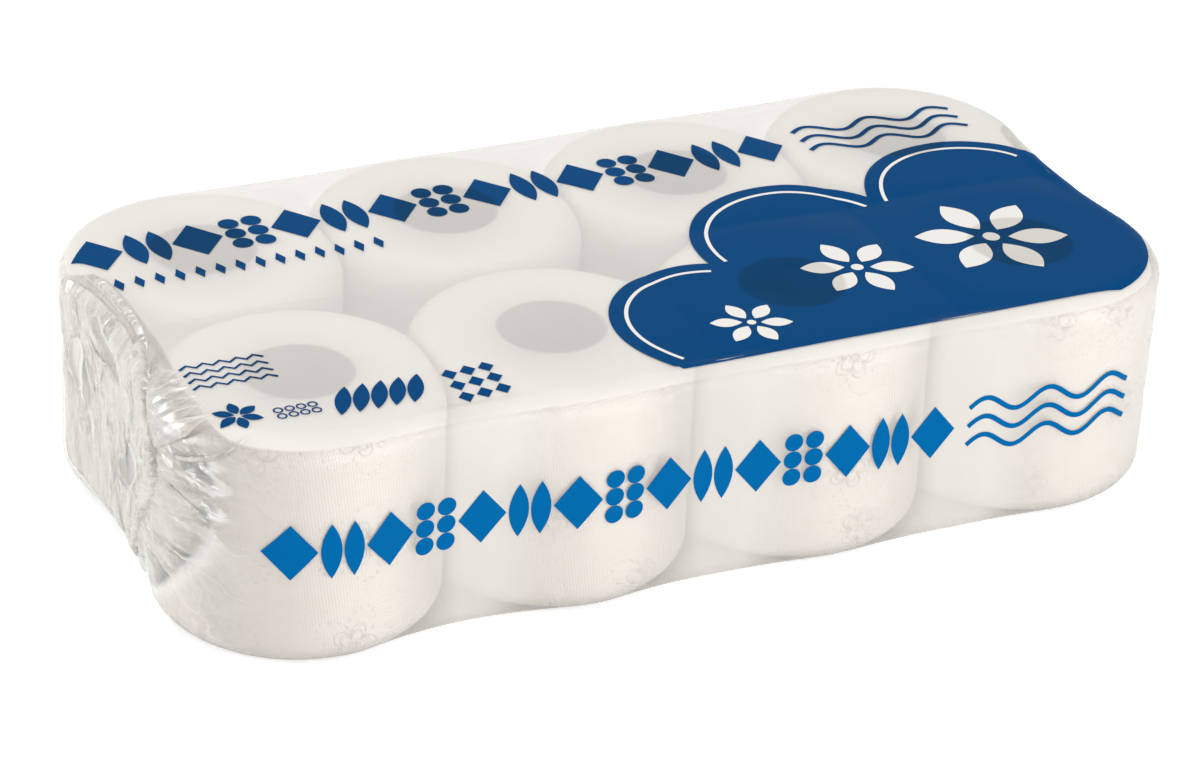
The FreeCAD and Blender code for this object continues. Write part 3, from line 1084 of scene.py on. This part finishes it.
@dataclass
class FoldedSheet:
    """One layer of the gathered end: a sheet ruled between two curves on the wrap, with its own creases.

    The curves are in millimetres: towards the front row from the middle of the end, and up the wrap.
    """

    wrap: FilmWrap
    film: Material
    name: str
    first: list[tuple[float, float]]
    second: list[tuple[float, float]]
    along: int
    across: int
    lift: float = 0.7 * MM
    crease: float = 1.2 * MM
    crease_scale: float = 9.0 * MM
    stretch: float = 0.18
    haze: float = 1.0
    haze_at_start: float = 1.0
    calm: float = 0.0
    fade_edges: tuple[float, float, float, float] = (0.0, 0.0, 0.0, 0.0)
    teeth: int = 0
    tooth_depth: float = 0.0
    ribs: int = 0
    rib_height: float = 0.0
    tooth_rise: float = 1.4 * MM
    lower_on_right: float = 0.84
    squeeze_on_right: float = 0.65
    squeeze_from: float = 60.0 * MM
    calm_on_right: float = 0.6
    base_lift: float = 0.12 * MM
    # Real film is 0.04 mm thick.
    wall: float = 0.06 * MM
    seed: float = 0.0

    def build(self, end: End) -> None:
        """Lay the sheet on one end.

        Args:
            end: Which end.
        """
        first = spread(self.first, self.along)
        second = spread(self.second, self.along)
        s = np.repeat(np.linspace(0, 1, self.along)[None, :], self.across, 0)
        t = np.repeat(np.linspace(0, 1, self.across)[:, None], self.along, 1)
        reach = t.copy()
        if self.teeth:
            saw = np.abs((s * self.teeth) % 1.0 - 0.5) * 2
            reach *= 1 - self.tooth_depth * saw
        flat = first[None] * (1 - reach[..., None]) + second[None] * reach[..., None]
        if end is End.RIGHT:
            flat[..., 1] *= self.lower_on_right
            flat[..., 0] -= self.squeeze_on_right * np.maximum(flat[..., 0] - self.squeeze_from, 0)
        places, facing = self.wrap.on_end(end, flat[..., 0], flat[..., 1])
        edge = np.ones_like(s)
        sides = (s, 1 - s, t, 1 - t)
        for distance, width in zip(sides, self.fade_edges):
            if width:
                edge *= smooth(distance, 0.0, width)
        size = np.stack([flat[..., 0], flat[..., 1], np.zeros_like(s)], -1).reshape(-1, 3)
        width = np.hypot(*(second - first).T).mean()
        length = np.hypot(*np.diff(first + second, axis=0).T).sum() / 2
        place = np.stack([s * length, t * width * self.stretch, np.full_like(s, self.seed)], -1)
        place = place.reshape(-1, 3)
        place[:, 0] += 7 * MM * np.array([noise.noise(Vector(p) / (20 * MM)) for p in size])
        creases = ridges(place, self.crease_scale, 3, self.seed + 2.7).reshape(s.shape)
        broad = ridges(size * 0.7, 26 * MM, 2, self.seed + 9.1).reshape(s.shape)
        calmer = 1.0 if end is End.LEFT else self.calm_on_right
        crease = self.crease * calmer
        height = self.lift + crease * (1 - self.calm * t) * (0.7 * creases + 0.5 * broad)
        if self.teeth:
            height += self.tooth_rise * t * (1 - np.abs((s * self.teeth) % 1.0 - 0.5) * 2)
        if self.ribs:
            height += self.rib_height * np.sin(s * self.ribs * 2 * math.pi) * np.sin(t * math.pi)
        height = self.base_lift + (height - self.base_lift) * edge * calmer
        places = places + facing * height[..., None]
        deselect()
        bpy.ops.mesh.primitive_grid_add(x_subdivisions=self.along - 1, y_subdivisions=self.across - 1,
                                        size=1.0)
        piece = bpy.context.object
        move_points(piece, places.reshape(-1, 3))
        attribute = piece.data.attributes.new("crumple", "FLOAT", "POINT")
        haze = self.haze * (self.haze_at_start + (1 - self.haze_at_start) * smooth(t, 0.55, 0.97))
        haze = haze * (1 - clear_patch(flat[..., 0], flat[..., 1]))
        attribute.data.foreach_set("value", (haze * edge).ravel())
        fold_map = np.stack([s * length / MM + self.seed * 31, t * width / MM], -1)
        write_map(piece, "fold_mm", fold_map.reshape(-1, 2))
        face_outwards(piece)
        wall = piece.modifiers.new("film_wall", "SOLIDIFY")
        wall.thickness = self.wall
        wall.offset = 0.0
        bpy.ops.object.modifier_apply(modifier=wall.name)
        bpy.ops.object.shade_smooth_by_angle(angle=math.radians(60))
        settle(piece, f"{self.name}_{end.name.lower()}")
        dress(piece, "wrap_film", self.film)
        LOG.info("%s: %d faces", piece.name, len(piece.data.polygons))


@dataclass
class EndClosure:
    """The gathered and heat-sealed end: two crumpled panels, the seal, its cut edge and some pleats."""

    wrap: FilmWrap
    film: Material
    smooth_film: Material
    seal: tuple[tuple[float, float], ...] = ((14, 97.5), (30, 94), (44, 89), (55, 81.5), (59, 71), (54, 58),
                                             (38, 39), (27, 22), (22, 9))
    seal_half_width: float = 5.5

    def seal_edges(self) -> tuple[list[tuple[float, float]], list[tuple[float, float]]]:
        """Find the two long edges of the heat seal, on both sides of its route."""
        route = spread(list(self.seal), 16) / MM
        way = np.gradient(route, axis=0)
        way /= np.hypot(*way.T)[:, None]
        side = np.stack([-way[:, 1], way[:, 0]], 1)
        taper = self.seal_half_width * (0.75 + 0.25 * np.sin(np.linspace(0, math.pi, 16)))[:, None]
        return [tuple(p) for p in route - side * taper], [tuple(p) for p in route + side * taper]

    def sheets(self) -> list[FoldedSheet]:
        """List the layers from the lowest to the highest."""
        seal_low, seal_high = self.seal_edges()
        back_panel = FoldedSheet(
            self.wrap, self.film, "end_panel_back",
            first=[(-66, 90), (-48, 96), (-18, 98), (12, 97), (32, 91.5), (50, 82.5), (58, 72)],
            second=[(-64, 13), (-44, 7), (-18, 5), (4, 6), (15, 12), (25, 22), (38, 40)],
            along=130, across=80, lift=0.5 * MM, crease=1.7 * MM, crease_scale=12 * MM, stretch=0.25,
            haze=0.9, fade_edges=(0.12, 0.0, 0.0, 0.12), seed=1.0)
        front_panel = FoldedSheet(
            self.wrap, self.film, "end_panel_front",
            first=[(52, 88), (57, 81), (60, 71), (55, 58), (39, 39), (28, 22), (24, 9)],
            second=[(94, 98), (104, 86), (108, 70), (104, 50), (90, 30), (72, 14), (52, 6)],
            along=100, across=70, lift=0.6 * MM, crease=1.6 * MM, crease_scale=8 * MM, stretch=0.35,
            haze=0.95, calm=0.9, fade_edges=(0.05, 0.15, 0.0, 0.85), seed=3.0)
        strip = FoldedSheet(
            self.wrap, self.film, "heat_seal", first=seal_low, second=seal_high, along=170, across=20,
            lift=2.6 * MM, crease=1.3 * MM, crease_scale=5 * MM, stretch=0.7, haze=1.5, ribs=30,
            rib_height=0.3 * MM, fade_edges=(0.0, 0.05, 0.3, 0.3), seed=5.0)
        frill = FoldedSheet(
            self.wrap, self.smooth_film, "cut_edge_frill",
            first=[(38, 97), (48, 92.5), (55, 87), (61, 80)],
            second=[(40, 105.5), (51, 106.5), (62, 106.4), (73, 105.6), (83, 103.8), (90, 100)],
            along=150, across=26, lift=2.0 * MM, crease=0.3 * MM, crease_scale=9 * MM, stretch=0.3,
            haze=0.8, haze_at_start=0.6, teeth=6, tooth_depth=0.34, seed=7.0)
        folds = []
        lines = (
            ([(-56, 99), (-24, 100), (4, 99), (20, 96)], 5.0, 2.4),
            ([(-46, 84), (-30, 79), (-16, 75), (-2, 82), (12, 94)], 3.6, 1.6),
            ([(64, 78), (80, 82), (96, 89), (105, 100)], 5.0, 1.8),
            ([(62, 66), (76, 64), (90, 58)], 4.0, 1.4),
            ([(6, 70), (10, 54), (16, 34)], 3.6, 1.3),
            ([(-24, 70), (-26, 48), (-22, 24)], 4.0, 1.2),
            ([(42, 58), (32, 50), (24, 40)], 3.6, 1.2))
        for number, (line, width, lift) in enumerate(lines, 1):
            other = [(a + width * 0.5, b + width * 0.85) for a, b in line]
            folds.append(FoldedSheet(
                self.wrap, self.film, f"pleat_{number}", first=line, second=other, along=70, across=9,
                lift=lift * MM, crease=0.3 * MM, crease_scale=9 * MM, stretch=0.3, haze=0.85,
                fade_edges=(0.3, 0.3, 0.5, 0.1), seed=11.0 + number))
        return [back_panel, front_panel, *folds, frill, strip]

    def build(self) -> None:
        """Lay all the layers on both ends."""
        for end in End:
            for sheet in self.sheets():
                sheet.build(end)


@dataclass
class TissueRoll:
    """One wound roll: rounded rims, pressed flat against its neighbours, embossed all round."""

    layout: PackLayout
    tissue: Material
    row: Row
    number: int
    segments: int = 144
    rim: float = 10.0 * MM
    gap: float = 0.3 * MM
    core_clearance: float = 0.2 * MM
    flat_blend: float = 1.3 * MM

    def build(self) -> None:
        """Lathe the roll from a cylinder, press it flat and lay its map."""
        name = f"{self.row.name.lower()}_{self.number}"
        core_low, core_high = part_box(f"core_{name}")
        bore = (core_high[0] - core_low[0]) / 2 + self.core_clearance
        centre = Vector((self.layout.columns[self.number - 1], self.row.value * self.layout.row_y,
                         (self.layout.roll_top + self.layout.roll_bottom) / 2))
        height = self.layout.roll_top - self.layout.roll_bottom
        deselect()
        bpy.ops.mesh.primitive_cylinder_add(vertices=self.segments, radius=self.layout.roll_radius,
                                            depth=height, end_fill_type="NGON", location=centre)
        piece = bpy.context.object
        settle(piece, f"tissue_roll_{name}")
        self.open_bore(piece, bore)
        self.round_rims(piece, centre)
        self.cut_rings(piece, height)
        self.lay_map(piece, centre)
        self.press(piece, centre)
        take(piece)
        bpy.ops.object.shade_smooth()
        dress(piece, "tissue", self.tissue)
        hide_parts(f"roll_{name}")
        LOG.info("tissue roll %s: %d faces", name, len(piece.data.polygons))

    def open_bore(self, piece: Object, bore: float) -> None:
        """Inset both ends to the bore and join the two holes with a wall.

        Args:
            piece: Solid cylinder.
            bore: Radius of the hole.
        """
        take(piece)
        bpy.ops.object.mode_set(mode="EDIT")
        bpy.ops.mesh.select_mode(type="FACE")
        mesh = bmesh.from_edit_mesh(piece.data)
        for face in mesh.faces:
            face.select_set(abs(face.normal.z) > 0.9)
        bmesh.update_edit_mesh(piece.data)
        bpy.ops.mesh.inset(thickness=self.layout.roll_radius - bore, use_even_offset=False)
        bpy.ops.mesh.bridge_edge_loops()
        bpy.ops.object.mode_set(mode="OBJECT")

    def round_rims(self, piece: Object, centre: Vector) -> None:
        """Bevel the two outer rims.

        Args:
            piece: Hollow cylinder.
            centre: Middle of the roll.
        """
        take(piece)
        bpy.ops.object.mode_set(mode="EDIT")
        bpy.ops.mesh.select_all(action="DESELECT")
        bpy.ops.mesh.select_mode(type="EDGE")
        mesh = bmesh.from_edit_mesh(piece.data)
        for edge in mesh.edges:
            level = abs(edge.verts[0].co.z - edge.verts[1].co.z) < 1e-6
            far = all((v.co - centre).xy.length > self.layout.roll_radius * 0.98 for v in edge.verts)
            edge.select_set(level and far)
        bmesh.update_edit_mesh(piece.data)
        bpy.ops.mesh.bevel(offset=self.rim, offset_type="OFFSET", segments=8, profile=0.5, affect="EDGES")
        bpy.ops.object.mode_set(mode="OBJECT")

    def cut_rings(self, piece: Object, height: float) -> None:
        """Cut level rings round the roll, so that it can be pressed softly.

        Args:
            piece: Roll with rounded rims.
            height: Height of the roll.
        """
        rings = 12
        take(piece)
        bpy.ops.object.mode_set(mode="EDIT")
        for n in range(1, rings):
            bpy.ops.mesh.select_all(action="SELECT")
            level = self.layout.roll_bottom + self.rim + (height - 2 * self.rim) * n / rings
            bpy.ops.mesh.bisect(plane_co=(0.0, 0.0, level), plane_no=(0.0, 0.0, 1.0))
        bpy.ops.object.mode_set(mode="OBJECT")

    def lay_map(self, piece: Object, centre: Vector) -> None:
        """Map the surface in millimetres: round the roll and up it.

        Args:
            piece: Round roll.
            centre: Middle of the roll.
        """
        layer = piece.data.uv_layers.new(name="surface_mm")
        shift = 41.0 * self.number + (17.0 if self.row is Row.FRONT else 83.0)
        radius_mm = self.layout.roll_radius / MM
        for face in piece.data.polygons:
            face_angle = math.atan2(face.center.y - centre.y, face.center.x - centre.x)
            for loop in face.loop_indices:
                point = piece.data.vertices[piece.data.loops[loop].vertex_index].co
                angle = math.atan2(point.y - centre.y, point.x - centre.x)
                if angle - face_angle > math.pi:
                    angle -= 2 * math.pi
                if face_angle - angle > math.pi:
                    angle += 2 * math.pi
                inwards = (self.layout.roll_radius - (point - centre).xy.length) / MM
                up = point.z / MM
                layer.data[loop].uv = (angle * radius_mm + shift * 7, up + inwards + shift)

    def press(self, piece: Object, centre: Vector) -> None:
        """Flatten the roll softly where its neighbours press on it, and let it bulge a little.

        Args:
            piece: Round roll.
            centre: Middle of the roll.
        """
        places = points_of(piece)
        pitch = self.layout.columns[1] - self.layout.columns[0]
        inner = self.layout.roll_radius * 0.6
        walls = []
        if self.number > 1:
            walls.append((0, -1, (pitch - self.gap) / 2))
        if self.number < len(self.layout.columns):
            walls.append((0, 1, (pitch - self.gap) / 2))
        walls.append((1, -self.row.value, self.layout.row_y - self.gap / 2))
        for axis, way, wall in walls:
            reach = (places[:, axis] - centre[axis]) * way
            over = reach - wall
            soft = -self.flat_blend * np.log1p(np.exp(-np.clip(over, -0.05, 0.05) / self.flat_blend))
            pressed = np.where(over > -4 * self.flat_blend, wall + soft, reach)
            outer = np.hypot(places[:, 0] - centre.x, places[:, 1] - centre.y) > inner
            moved = centre[axis] + way * np.minimum(reach, pressed)
            places[:, axis] = np.where(outer, moved, places[:, axis])
        lumps = np.array([noise.noise(Vector(p) * 22.0) for p in places])
        from_axis = places[:, :2] - np.array(centre)[:2]
        distance = np.hypot(*from_axis.T)
        outer = distance > inner
        places[:, :2] -= (from_axis / distance[:, None]) * (np.abs(lumps) * 0.5 * MM * outer)[:, None]
        move_points(piece, places)


@dataclass
class CoreTubes:
    """The eight board tubes, kept from the frame."""

    board: Material

    def build(self) -> None:
        """Dress each tube."""
        for row in Row:
            for number in range(1, 5):
                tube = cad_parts[f"core_{row.name.lower()}_{number}"]
                tube.data.materials.clear()
                tube.data.materials.append(self.board)
        LOG.info("core tubes: 8 dressed")


Outline = list[tuple[float, float]]


def lens(x: float, y: float, width: float, height: float, turn: float = 0.0, steps: int = 10) -> Outline:
    """Pointed oval about (x, y).

    Args:
        x: Centre along the first axis.
        y: Centre along the second axis.
        width: Across its middle.
        height: From point to point.
        turn: Turn to the left in degrees.
        steps: Points on each side.

    Returns:
        Closed outline, counter-clockwise.
    """
    outline = []
    cos, sin = math.cos(math.radians(turn)), math.sin(math.radians(turn))
    for side in (1, -1):
        for n in range(steps):
            along = side * (n / steps * 2 - 1) * height / 2
            bulge = side * (1 - (2 * along / height) ** 2) * width / 2
            outline.append((x + bulge * cos - along * sin, y + bulge * sin + along * cos))
    return outline


def lozenge(x: float, y: float, width: float, height: float) -> Outline:
    """Upright diamond about (x, y)."""
    return [(x, y - height / 2), (x + width / 2, y), (x, y + height / 2), (x - width / 2, y)]


def disc(x: float, y: float, radius: float, steps: int = 28) -> Outline:
    """Round dot about (x, y)."""
    turns = [2 * math.pi * n / steps for n in range(steps)]
    return [(x + radius * math.cos(a), y + radius * math.sin(a)) for a in turns]


def ribbon(points: Outline, width: float) -> list[Outline]:
    """Line of even width along a chain of points, as one quadrangle to each run.

    Args:
        points: Middle line.
        width: Width of the line.

    Returns:
        Closed outlines that meet end to end.
    """
    line = np.array(points)
    along = np.gradient(line, axis=0)
    along /= np.hypot(*along.T)[:, None]
    side = np.stack([-along[:, 1], along[:, 0]], 1) * width / 2
    left, right = line + side, line - side
    runs = []
    for n in range(len(line) - 1):
        runs.append([tuple(right[n]), tuple(right[n + 1]), tuple(left[n + 1]), tuple(left[n])])
    return runs


@dataclass
class PrintSheet:
    """One colour of print: flat outlines laid on one side of the film."""

    film: Object
    ink: Material
    name: str
    side: Side = Side.TOP
    lift: float = 0.2 * MM
    thickness: float = 0.05 * MM
    cut: float = 2.5 * MM
    outlines: list[Outline] = field(default_factory=list)

    def build(self) -> None:
        """Draw the outlines in millimetres, cut them to follow the film, and lay them on it."""
        deselect()
        bpy.ops.mesh.primitive_plane_add(size=1.0)
        piece = bpy.context.object
        mesh = bmesh.new()
        for outline in self.outlines:
            corners = [mesh.verts.new((a * MM, b * MM, 0.0)) for a, b in outline]
            mesh.faces.new(corners)
        bmesh.ops.remove_doubles(mesh, verts=mesh.verts, dist=0.001 * MM)
        mesh.to_mesh(piece.data)
        mesh.free()
        self.slice(piece)
        self.lay(piece)
        take(piece)
        solid = piece.modifiers.new("ink", "SOLIDIFY")
        solid.thickness = self.thickness
        solid.offset = 1.0
        bpy.ops.object.modifier_apply(modifier=solid.name)
        bpy.ops.object.shade_smooth_by_angle(angle=math.radians(40))
        settle(piece, self.name)
        dress(piece, "wrap_film", self.ink)
        LOG.info("%s: %d faces", self.name, len(piece.data.polygons))

    def slice(self, piece: Object) -> None:
        """Cut the flat shapes along a square grid.

        Args:
            piece: Flat mesh in the XY plane.
        """
        places = points_of(piece)
        low, high = places.min(0), places.max(0)
        take(piece)
        bpy.ops.object.mode_set(mode="EDIT")
        for axis in (0, 1):
            normal = [0.0, 0.0, 0.0]
            normal[axis] = 1.0
            count = int((high[axis] - low[axis]) / self.cut)
            for n in range(1, count + 1):
                place = [0.0, 0.0, 0.0]
                place[axis] = low[axis] + self.cut * n
                bpy.ops.mesh.select_all(action="SELECT")
                bpy.ops.mesh.bisect(plane_co=place, plane_no=normal)
        bpy.ops.mesh.select_all(action="SELECT")
        bpy.ops.mesh.quads_convert_to_tris()
        bpy.ops.object.mode_set(mode="OBJECT")

    def lay(self, piece: Object) -> None:
        """Project the flat shapes onto the film.

        Args:
            piece: Flat mesh in the XY plane.
        """
        tree = BVHTree.FromObject(self.film, bpy.context.evaluated_depsgraph_get())
        places = points_of(piece)
        nudges = [(0.0, 0.0), (0.01 * MM, 0.007 * MM), (-0.011 * MM, 0.009 * MM), (0.05 * MM, -0.04 * MM)]
        for index, (a, b, _) in enumerate(places):
            hit = None
            for da, db in nudges:
                start = self.side.start(a + da, b + db)
                hit, normal, _, _ = tree.ray_cast(start, Vector(self.side.value[0]))
                if hit is not None:
                    break
            if hit is None:
                raise ValueError(f"{self.name}: no film under point {a:.4f}, {b:.4f}")
            places[index] = hit + normal * self.lift
        move_points(piece, places)


@dataclass
class Print:
    """The pack's printed design: a blue field with three lobes, flowers and bands of simple shapes."""

    layout: PackLayout
    film: Object
    blue: Material
    side_blue: Material
    white: Material

    def lobes(self, shrink: float) -> list[Outline]:
        """Run of three round lobes that bounds the blue field, in millimetres.

        Args:
            shrink: How much smaller than the field the lobes are.

        Returns:
            One chain of points for each lobe, from the front edge to the right end.
        """
        circles = ((14.0, -72.0, 46.0), (78.0, -22.0, 50.0), (166.0, -6.0, 48.0))
        chains = []
        for number, (x, y, radius) in enumerate(circles):
            others = [c for n, c in enumerate(circles) if n != number]
            chain = []
            for turn in np.linspace(250, -50, 220):
                point = (x + (radius - shrink) * math.cos(math.radians(turn)),
                         y + (radius - shrink) * math.sin(math.radians(turn)))
                free = all(math.hypot(point[0] - c[0], point[1] - c[1]) > c[2] + shrink / 4 for c in others)
                if free and point[1] > -104.0 + shrink and point[0] < 206.5 - shrink:
                    chain.append(point)
                elif turn > 120:
                    chain.clear()
                else:
                    break
            chains.append(chain)
        return chains

    def blue_field(self) -> Outline:
        """Field with three round lobes, from the front edge to the right end, in millimetres."""
        outline = [(-19.0, -104.0)] + [point for chain in self.lobes(0.0) for point in chain]
        points, normals, _ = self.layout.outline(2.5 * MM, 2.5 * MM)
        inset = (points - normals * 5.4 * MM) / MM
        last = outline[-1][1]
        edge = [tuple(p) for p in inset if p[0] > 165 and -104 < p[1] < last - 1.0]
        edge.sort(key=lambda p: -p[1])
        return (outline + edge)[::-1]

    def flower(self, x: float, y: float, size: float) -> list[Outline]:
        """Open flower of lens-shaped outlines about (x, y)."""
        runs = []
        for petal in range(6):
            turn = 60.0 * petal + 12.0
            out = math.radians(turn + 90)
            centre = (x + size * 0.30 * math.cos(out), y + size * 0.30 * math.sin(out))
            runs.append(lens(centre[0], centre[1], size * 0.2, size * 0.38, turn, 16))
        return runs + [disc(x, y, size * 0.055)]

    def band(self, left: float, middle: float, pitch: float, height: float, count: int) -> list[Outline]:
        """Row of bold simple shapes in turn: a diamond, two lenses, four dots."""
        outlines = []
        for n in range(count):
            x = left + pitch * (n + 0.5)
            if n % 2 == 0:
                outlines.append(lozenge(x, middle, pitch * 1.02, height))
                continue
            for place in (x - pitch * 0.23, x + pitch * 0.23):
                if n % 4 == 1:
                    outlines.append(lens(place, middle, pitch * 0.42, height))
                    continue
                for row in (-1, 0, 1):
                    outlines.append(disc(place, middle + row * height * 0.33, pitch * 0.2))
        return outlines

    def ripples(self, left: float, right: float, middle: float, gap: float, width: float) -> list[Outline]:
        """Three thin parallel waves."""
        runs = []
        for line in (-1, 0, 1):
            xs = np.linspace(left, right, 70)
            ys = middle + line * gap + gap * 0.42 * np.sin((xs - left) * 2 * math.pi / (gap * 3.4))
            runs += ribbon(list(zip(xs, ys)), width)
        return runs

    def small_shapes(self) -> list[Outline]:
        """Small plain shapes near the left end: zigzag lines, a flower, rings, leaves and diamonds."""
        outlines = []
        for line in range(4):
            zigzag = [(-202.0 + 3.4 * n, -56.0 + 5.4 * line + 2.6 * (n % 2)) for n in range(11)]
            outlines += ribbon(zigzag, 1.3)
        for turn in range(0, 360, 60):
            away = math.radians(turn + 90)
            place = (-193.0 + 5.6 * math.cos(away), -80.0 + 5.6 * math.sin(away))
            outlines.append(lens(*place, 4.6, 8.6, turn, 8))
        for column in range(4):
            for line in (0, 1):
                angles = np.linspace(0, 2 * math.pi, 17)
                centre = (-177.5 + column * 4.6, -86.0 + line * 4.6)
                outlines += ribbon([(centre[0] + 1.7 * math.cos(a), centre[1] + 1.7 * math.sin(a))
                                    for a in angles], 0.7)
        for column in range(5):
            outlines.append(lens(-152.0 + column * 7.4, -83.0, 6.4, 22.0, -24.0, 12))
        for column in range(3):
            for line in range(3):
                outlines.append(lozenge(-106.0 + column * 7.6, -94.0 + line * 8.6, 6.6, 7.6))
        return outlines

    def build(self) -> None:
        """Lay every colour of print on the film."""
        PrintSheet(self.film, self.blue, "print_blue_field", lift=0.3 * MM, cut=2.0 * MM,
                   outlines=[self.blue_field()]).build()
        lace = [run for chain in self.lobes(7.0) for run in ribbon(chain[::3], 1.6)]
        PrintSheet(self.film, self.white, "print_flowers_and_border", lift=0.45 * MM,
                   outlines=self.flower(150.0, -46.0, 66.0) + self.flower(84.0, -52.0, 48.0)
                   + self.flower(22.0, -80.0, 34.0) + lace).build()
        top = self.band(-212.0, 62.0, 21.3, 27.0, 15) + self.ripples(117.0, 194.0, 62.0, 9.0, 2.2)
        top += [lozenge(-201.0 + 8.5 * n, 35.0, 4.4, 10.5) for n in range(14)]
        PrintSheet(self.film, self.blue, "print_top_band", outlines=top).build()
        PrintSheet(self.film, self.blue, "print_small_shapes", outlines=self.small_shapes()).build()
        sides = self.band(-192.0, 52.5, 19.5, 24.0, 15) + self.ripples(107.0, 183.0, 52.0, 8.5, 2.2)
        for side in (Side.FRONT, Side.BACK):
            PrintSheet(self.film, self.side_blue, f"print_{side.name.lower()}_band", side=side,
                       outlines=list(sides)).build()


@dataclass
class Studio:
    """Floor, soft lights and the camera."""

    azimuth: float = -25.923
    elevation: float = 29.026
    roll: float = 2.804
    distance: float = 1.61297
    target: tuple[float, float, float] = (-0.01474, -0.02176, 0.0456)
    focal_px: float = 3937.5
    frame_px: float = 1200.0
    sensor: float = 36.0

    def camera(self) -> None:
        """Place the camera at the photograph's angle."""
        az, el, roll = (math.radians(v) for v in (self.azimuth, self.elevation, self.roll))
        back = Vector((math.sin(az) * math.cos(el), -math.cos(az) * math.cos(el), math.sin(el)))
        right = (-back).cross(Vector((0, 0, 1))).normalized()
        up = right.cross(-back)
        turned_right = right * math.cos(roll) + up * math.sin(roll)
        turned_up = up * math.cos(roll) - right * math.sin(roll)
        data = bpy.data.cameras.new("camera")
        data.sensor_width = self.sensor
        data.lens = self.focal_px * self.sensor / self.frame_px
        camera = bpy.data.objects.new("camera", data)
        bpy.context.scene.collection.objects.link(camera)
        turn = Matrix((turned_right, turned_up, back)).transposed().to_4x4()
        camera.matrix_world = Matrix.Translation(Vector(self.target) + back * self.distance) @ turn
        bpy.context.scene.camera = camera

    def lamp(self, name: str, place: tuple[float, float, float], size: float, power: float) -> None:
        """Add a square soft light that faces the pack.

        Args:
            name: Name of the light.
            place: Its centre.
            size: Its side.
            power: Its power in watts.
        """
        data = bpy.data.lights.new(name, "AREA")
        data.shape = "SQUARE"
        data.size = size
        data.energy = power
        lamp = bpy.data.objects.new(name, data)
        lamp.location = place
        lamp.rotation_euler = (Vector(self.target) - Vector(place)).to_track_quat("-Z", "Y").to_euler()
        bpy.context.scene.collection.objects.link(lamp)

    def seen_plain(self, tree: NodeTree) -> NodeSocket:
        """Tell the rays that see the white background, straight or by gloss or glass, from the rest.

        Args:
            tree: Node tree of the floor or the world.

        Returns:
            1 for those rays, otherwise 0.
        """
        path = add_node(tree, "ShaderNodeLightPath")
        total = path.outputs["Is Camera Ray"]
        for kind in ("Is Glossy Ray", "Is Transmission Ray"):
            total = add_node(tree, "ShaderNodeMath", {
                0: total, 1: path.outputs[kind]}, operation="MAXIMUM").outputs[0]
        return total

    def floor(self) -> None:
        """Lay a plain white floor."""
        material, tree, output = fresh_material("white_paper_backdrop")
        seen_by = self.seen_plain(tree)
        paper = add_node(tree, "ShaderNodeBsdfDiffuse", {"Color": linear("#F4F4F4")})
        glow = add_node(tree, "ShaderNodeEmission", {"Color": (1.0, 1.0, 1.0, 1.0), "Strength": 0.45})
        both = add_node(tree, "ShaderNodeAddShader", {0: paper, 1: glow})
        seen = add_node(tree, "ShaderNodeMixShader", {0: seen_by, 1: paper, 2: both})
        tree.links.new(seen.outputs[0], output.inputs[0])
        deselect()
        bpy.ops.mesh.primitive_plane_add(size=14.0, location=(0.0, 0.0, -0.0002))
        plane = settle(bpy.context.object, "floor")
        plane.data.materials.append(material)

    def world(self) -> None:
        """White surroundings: bright to the camera, softer on the pack."""
        world = bpy.data.worlds.new("white_room")
        world.use_nodes = True
        tree = world.node_tree
        tree.nodes.clear()
        seen_by = self.seen_plain(tree)
        seen = add_node(tree, "ShaderNodeBackground", {"Color": (1.0, 1.0, 1.0, 1.0), "Strength": 1.0})
        felt = add_node(tree, "ShaderNodeBackground", {"Color": linear("#FAFAFA"), "Strength": 0.66})
        mix = add_node(tree, "ShaderNodeMixShader", {0: seen_by, 1: felt, 2: seen})
        output = add_node(tree, "ShaderNodeOutputWorld")
        tree.links.new(mix.outputs[0], output.inputs[0])
        bpy.context.scene.world = world

    def build(self) -> None:
        """Set the whole studio up."""
        bpy.context.scene.view_settings.view_transform = "Standard"
        self.camera()
        self.floor()
        self.world()
        self.lamp("key_softbox", (0.7, -1.7, 0.8), 1.1, 9.0)
        self.lamp("front_fill", (0.05, -1.6, 0.3), 1.5, 11.5)
        self.lamp("top_softbox", (-0.2, 0.9, 1.5), 1.2, 8.0)
        self.lamp("left_strip", (-1.5, 0.3, 0.4), 0.6, 6.0)
        LOG.info("studio ready")


def main() -> None:
    """Build the pack from the inside out, then the studio."""
    logging.basicConfig(level=logging.INFO, format="%(message)s")
    layout = PackLayout()
    tissue = TissuePaper().build()
    CoreTubes(CoreBoard().build()).build()
    for row in Row:
        for number in range(1, 5):
            TissueRoll(layout, tissue, row, number).build()
    film = FilmWrap(layout, ClearFilm("blown_polyethylene_film_with_flood_coat", coat=FloodCoat()).build())
    film.build()
    loose = ClearFilm("loose_layer_of_film", taut_haze=0.0, crumpled_haze=0.42, fading=True)
    flaps = ClearFilm("cut_edge_of_film", taut_haze=0.0, crumpled_haze=0.34, crease_mm=15.0,
                      crease_length_mm=24.0, stroke_mm=5.5, stroke_length_mm=20.0, crease_depth=0.3,
                      gloss_roughness=0.3, fading=True)
    EndClosure(film, loose.build(), flaps.build()).build()
    core_low, core_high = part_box("core_front_1")
    holes = (layout.columns, layout.row_y, (core_high[0] - core_low[0]) / 2)
    # The second colour of each ink is painted shade over the core holes; the light blue ink has none.
    Print(layout, film.piece, GravureInk("blue_gravure_ink", "#00457A", "#003A62", *holes).build(),
          GravureInk("light_blue_gravure_ink", "#0063A0", "#0063A0").build(),
          GravureInk("white_gravure_ink", "#EFECE7", "#D2CEC8", *holes).build()).build()
    Studio().build()


if __name__ == "__main__":
    main()
